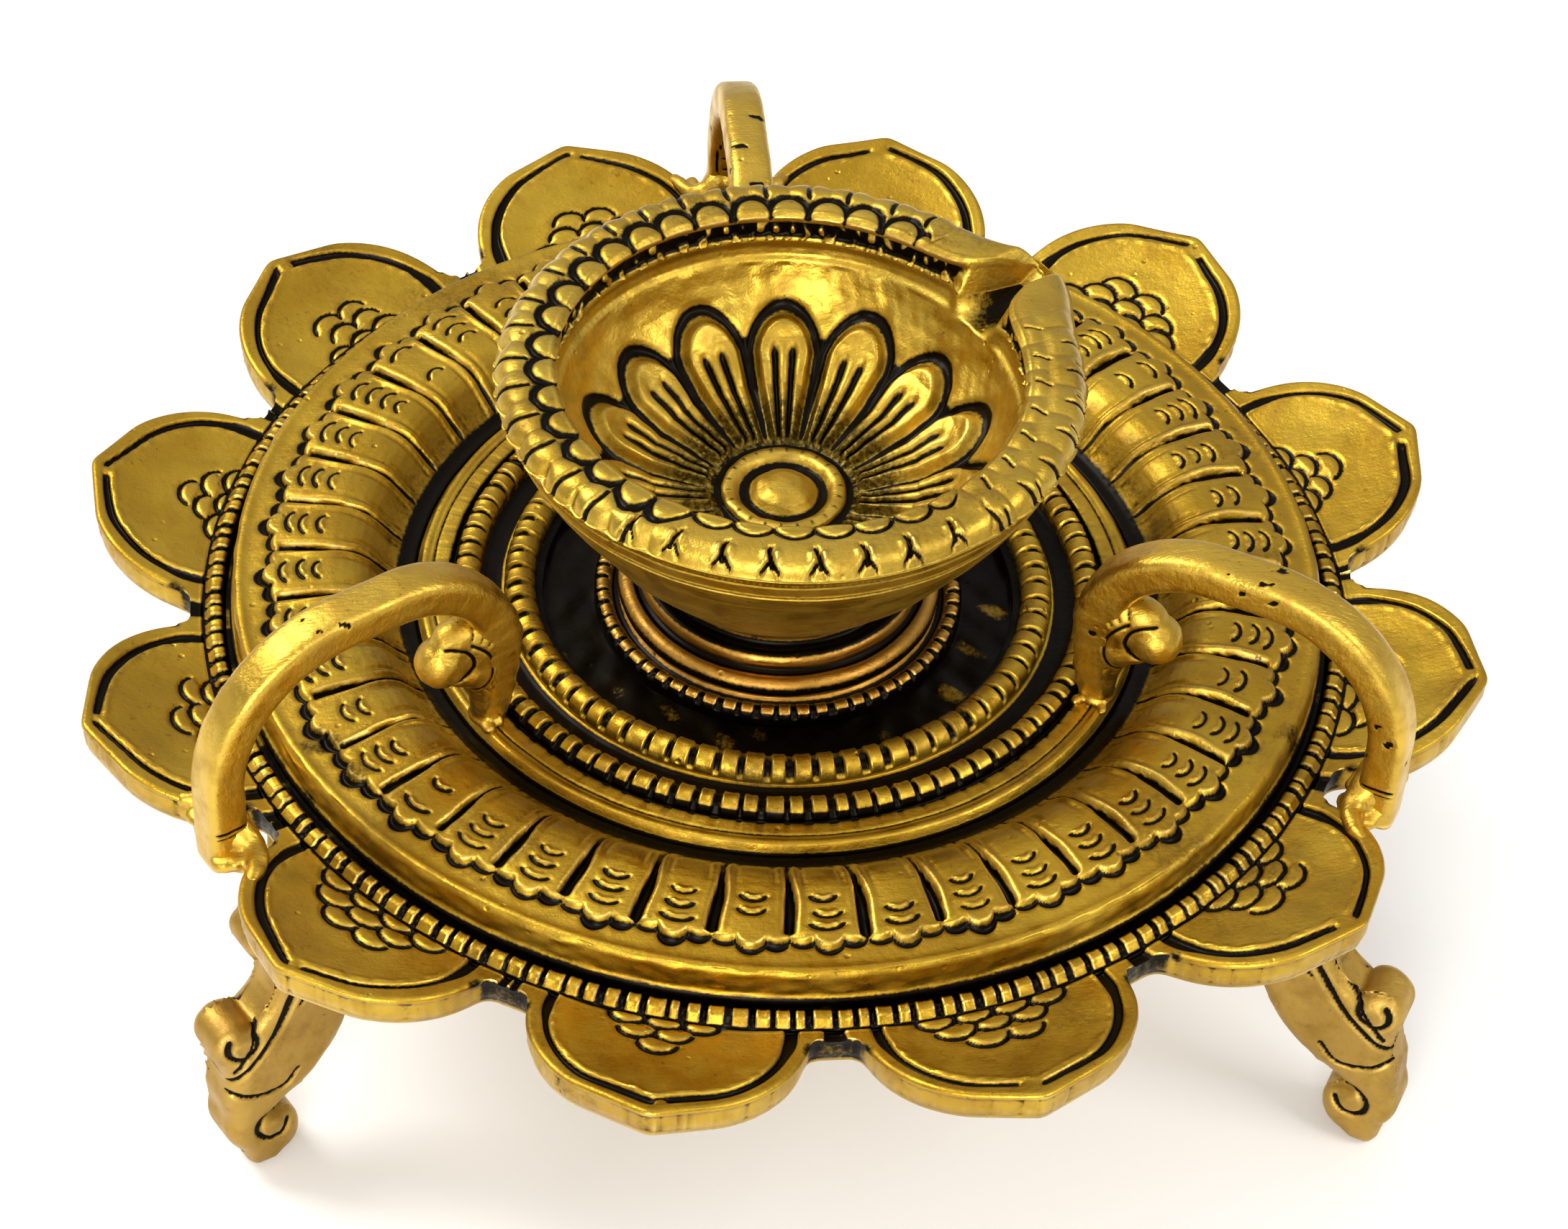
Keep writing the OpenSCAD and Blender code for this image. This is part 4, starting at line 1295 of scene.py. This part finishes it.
def build_leg(name, azimuth, splay, seed):
    """A leg: a thick S with a scroll at its knee and foot, carved on both sides.

    Its foot stands out from the foot circle by splay.
    """
    outline = leg_outline()
    count = len(outline)
    shells_points = np.vstack([
        np.column_stack([outline[:, 0], np.full(count, -LEG_HALF), outline[:, 1]]),
        np.column_stack([outline[:, 0], np.full(count, LEG_HALF), outline[:, 1]]),
    ])
    bm = bmesh.new()
    verts = [bm.verts.new(p) for p in shells_points]
    bm.faces.new(verts[:count])
    bm.faces.new(verts[count:][::-1])
    for i in range(count):
        j = (i + 1) % count
        bm.faces.new([verts[j], verts[i], verts[count + i], verts[count + j]])
    bmesh.ops.triangulate(bm, faces=bm.faces[:])
    bm.verts.index_update()
    triangles = np.array([[v.index for v in f.verts] for f in bm.faces])
    bm.free()
    points, faces = fused(name, [(shells_points, triangles)], 0.36)
    points = relaxed(points, edges_of(faces), 2)
    r, side, z = points.T
    plan = np.stack([r, z], -1)
    rim = distance_to(plan, np.vstack([outline, outline[:1]]))
    near_pad = ramp(z, PAD_Z - 2.5, PAD_Z - 0.5)
    rim = rim * (1 - near_pad) + 3 * near_pad
    cushion = 0.5 + 0.5 * np.sqrt(1 - (1 - np.clip(rim / 3.4, 0, 1)) ** 2)
    flat_side = ramp(np.abs(side), 0.82 * LEG_HALF, 0.95 * LEG_HALF)
    cuts = np.zeros_like(r)
    main = smooth_curve([(70.2, 53), (72.4, 43), (77.0, 32.5), (82.6, 23.6), (87.4, 19.6)])
    second = smooth_curve([(77.6, 46.5), (77.4, 39.5), (80.0, 33.0), (82.2, 28.8), (86.8, 21.6)])
    third = smooth_curve([(78.5, 17.5), (80.5, 15.2), (84.5, 15.5), (87.9, 17.4)])
    for line, width in ((main, 0.42), (second, 0.36), (third, 0.3)):
        cuts = np.maximum(cuts, ridge(distance_to(plan, line), width))
    for centre, size, start, end in (((85.4, 25.9), 2.1, 150, 400), ((82.9, 8.3), 2.3, -160, 95)):
        eye = arc(centre, size, start, end, 30)
        cuts = np.maximum(cuts, ridge(distance_to(plan, eye), 0.42))
    for i in range(3):
        vein = smooth_curve([(71.5 + 1.2 * i, 38 - 3.4 * i), (72.8 + 1.4 * i, 37.6 - 3.4 * i),
                             (74.4 + 1.3 * i, 35.6 - 3.2 * i)])
        cuts = np.maximum(cuts, 0.7 * ridge(distance_to(plan, vein), 0.26))
    knob = 0.35 * ridge(np.hypot(r - 85.4, z - 25.9), 1.2) + 0.35 * ridge(np.hypot(r - 82.9, z - 8.3), 1.3)
    new_side = side * cushion - np.sign(side) * flat_side * (0.75 * cuts - knob)
    cast = 0.08 * wobble(points, 5, seed) + 0.05 * wobble(points, 2, seed + 1)
    new_side = np.clip(new_side * (1 + cast * 0.3), -LEG_HALF + 0.02, LEG_HALF - 0.02)
    edge_band = ramp(2.0 - np.abs(new_side), 0, 0.8) * ramp(0.6 - rim, 0, 0.5)
    valley = ridge(z - 20.4, 0.9) + ridge(z - 38.5, 1.0) + 0.7 * ridge(z - 30.6, 0.7)
    dark = np.maximum(1.0 * cuts * flat_side, 0.55 * edge_band * valley * (r > 78))
    r = r + splay * (1 - z / PAD_Z)
    z = np.maximum(z - DECK, -DECK + 0.03)
    placed = upright(r, new_side, z, azimuth)
    hot = 0.7 * ramp(z, -PETAL_THICK - 4, -PETAL_THICK)
    return add_mesh(name, placed, faces, 0.9 * dark, hot, reach=5, gain=3.0)


# ---- The lamp ----

place(build_tray(), "stand", "antique_brass", antique_brass, "lotus_tray")
place(build_border_beads(), "stand", "antique_brass", antique_brass)
place(build_outer_dish(), "stand", "antique_brass", antique_brass, "fluted_dish")
place(build_inner_dish(), "stand", "antique_brass", antique_brass)
place(build_pedestal(), "stand", "antique_brass", copper_brass, "pedestal")
place(build_bowl(), "bowl", "polished_brass", bowl_brass, "oil_bowl")

for order, (side, degrees) in enumerate(ARM_DEG.items()):
    azimuth = math.radians(degrees)
    arch_top = high_mm("handle_" + side)[2] - DECK
    bar = build_handle_bar("handle_bar_" + side, azimuth, arch_top, 200 + 10 * order)
    place(bar, "stand", "handle_brass", handle_brass, "handle_" + side)
    ends = build_handle_ends("handle_ends_" + side, azimuth, 240 + 10 * order)
    place(ends, "stand", "handle_brass", handle_brass)
    outward = Vector((math.cos(azimuth), math.sin(azimuth), 0))
    leg = build_leg("leg_cast_" + side, azimuth, foot_mm(side) @ outward - FOOT_R, 280 + 10 * order)
    place(leg, "stand", "leg_brass", leg_brass, "leg_" + side)

for node in ("centre_stud", "flat_washer", "spring_washer", "clamp_nut"):
    fastener = frame["nodes"][node]
    fastener.data.materials.clear()
    fastener.data.materials.append(turned_brass)


# ---- Studio ----

def plain(name, colour, roughness):
    material = bpy.data.materials.new(name)
    material.use_nodes = True
    shader = material.node_tree.nodes["Principled BSDF"]
    shader.inputs["Base Color"].default_value = (*colour, 1)
    shader.inputs["Roughness"].default_value = roughness
    return material


def add_floor():
    half = 3.0
    corners = [(-half, -half, 0), (half, -half, 0), (half, half, 0), (-half, half, 0)]
    mesh = bpy.data.meshes.new("studio_floor")
    mesh.from_pydata(corners, [], [(0, 1, 2, 3)])
    mesh.materials.append(plain("floor_paper", (0.86, 0.86, 0.85), 0.7))
    floor = bpy.data.objects.new("studio_floor", mesh)
    bpy.context.scene.collection.objects.link(floor)


def add_softbox(name, position, size, power):
    """A square soft light at a place in metres, aimed at the lamp."""
    data = bpy.data.lights.new(name, "AREA")
    data.shape = "SQUARE"
    data.size = size
    data.energy = power
    light = bpy.data.objects.new(name, data)
    light.location = position
    aim = Vector((0, 0, DECK * MM)) - Vector(position)
    light.rotation_euler = aim.to_track_quat("-Z", "Y").to_euler()
    bpy.context.scene.collection.objects.link(light)


def add_world(horizon, overhead):
    """A white studio, brighter overhead than at the horizon."""
    world = bpy.data.worlds.new("studio_world")
    world.use_nodes = True
    tree = world.node_tree
    background = tree.nodes["Background"]
    split = tree.nodes.new("ShaderNodeSeparateXYZ")
    tree.links.new(tree.nodes.new("ShaderNodeTexCoord").outputs["Generated"], split.inputs[0])
    level = tree.nodes.new("ShaderNodeMapRange")
    tree.links.new(split.outputs["Z"], level.inputs["Value"])
    level.inputs["From Min"].default_value = 0.15
    level.inputs["From Max"].default_value = 0.95
    level.inputs["To Min"].default_value = horizon
    level.inputs["To Max"].default_value = overhead
    tree.links.new(level.outputs["Result"], background.inputs["Strength"])
    background.inputs["Color"].default_value = (1, 1, 1, 1)
    bpy.context.scene.world = world


def add_camera(position, target, roll_deg, lens):
    """A camera at a place in metres, aimed at target and rolled about its view."""
    data = bpy.data.cameras.new("photo_camera")
    data.lens = lens
    data.sensor_width = 36
    data.clip_start = 0.05
    camera = bpy.data.objects.new("photo_camera", data)
    aim = Vector(target) - Vector(position)
    turn = aim.to_track_quat("-Z", "Y").to_matrix() @ Matrix.Rotation(math.radians(roll_deg), 3, "Z")
    camera.matrix_world = Matrix.Translation(position) @ turn.to_4x4()
    bpy.context.scene.collection.objects.link(camera)
    bpy.context.scene.camera = camera


CAMERA_AT = (-0.0517, -0.3902, 0.4405)
CAMERA_AIM = (0.0007, -0.0023, 0.0577)
CAMERA_ROLL_DEG = 3.57
CAMERA_LENS = 96.4

add_floor()
add_world(0.5, 0.92)
add_softbox("key_light", (-0.65, 0.35, 0.95), 0.5, 11)
add_softbox("fill_light", (0.75, -0.45, 0.75), 0.5, 5)
add_softbox("front_light", (-0.25, -0.95, 0.55), 0.5, 9)
add_camera(CAMERA_AT, CAMERA_AIM, CAMERA_ROLL_DEG, CAMERA_LENS)
bpy.context.scene.view_settings.view_transform = "Standard"
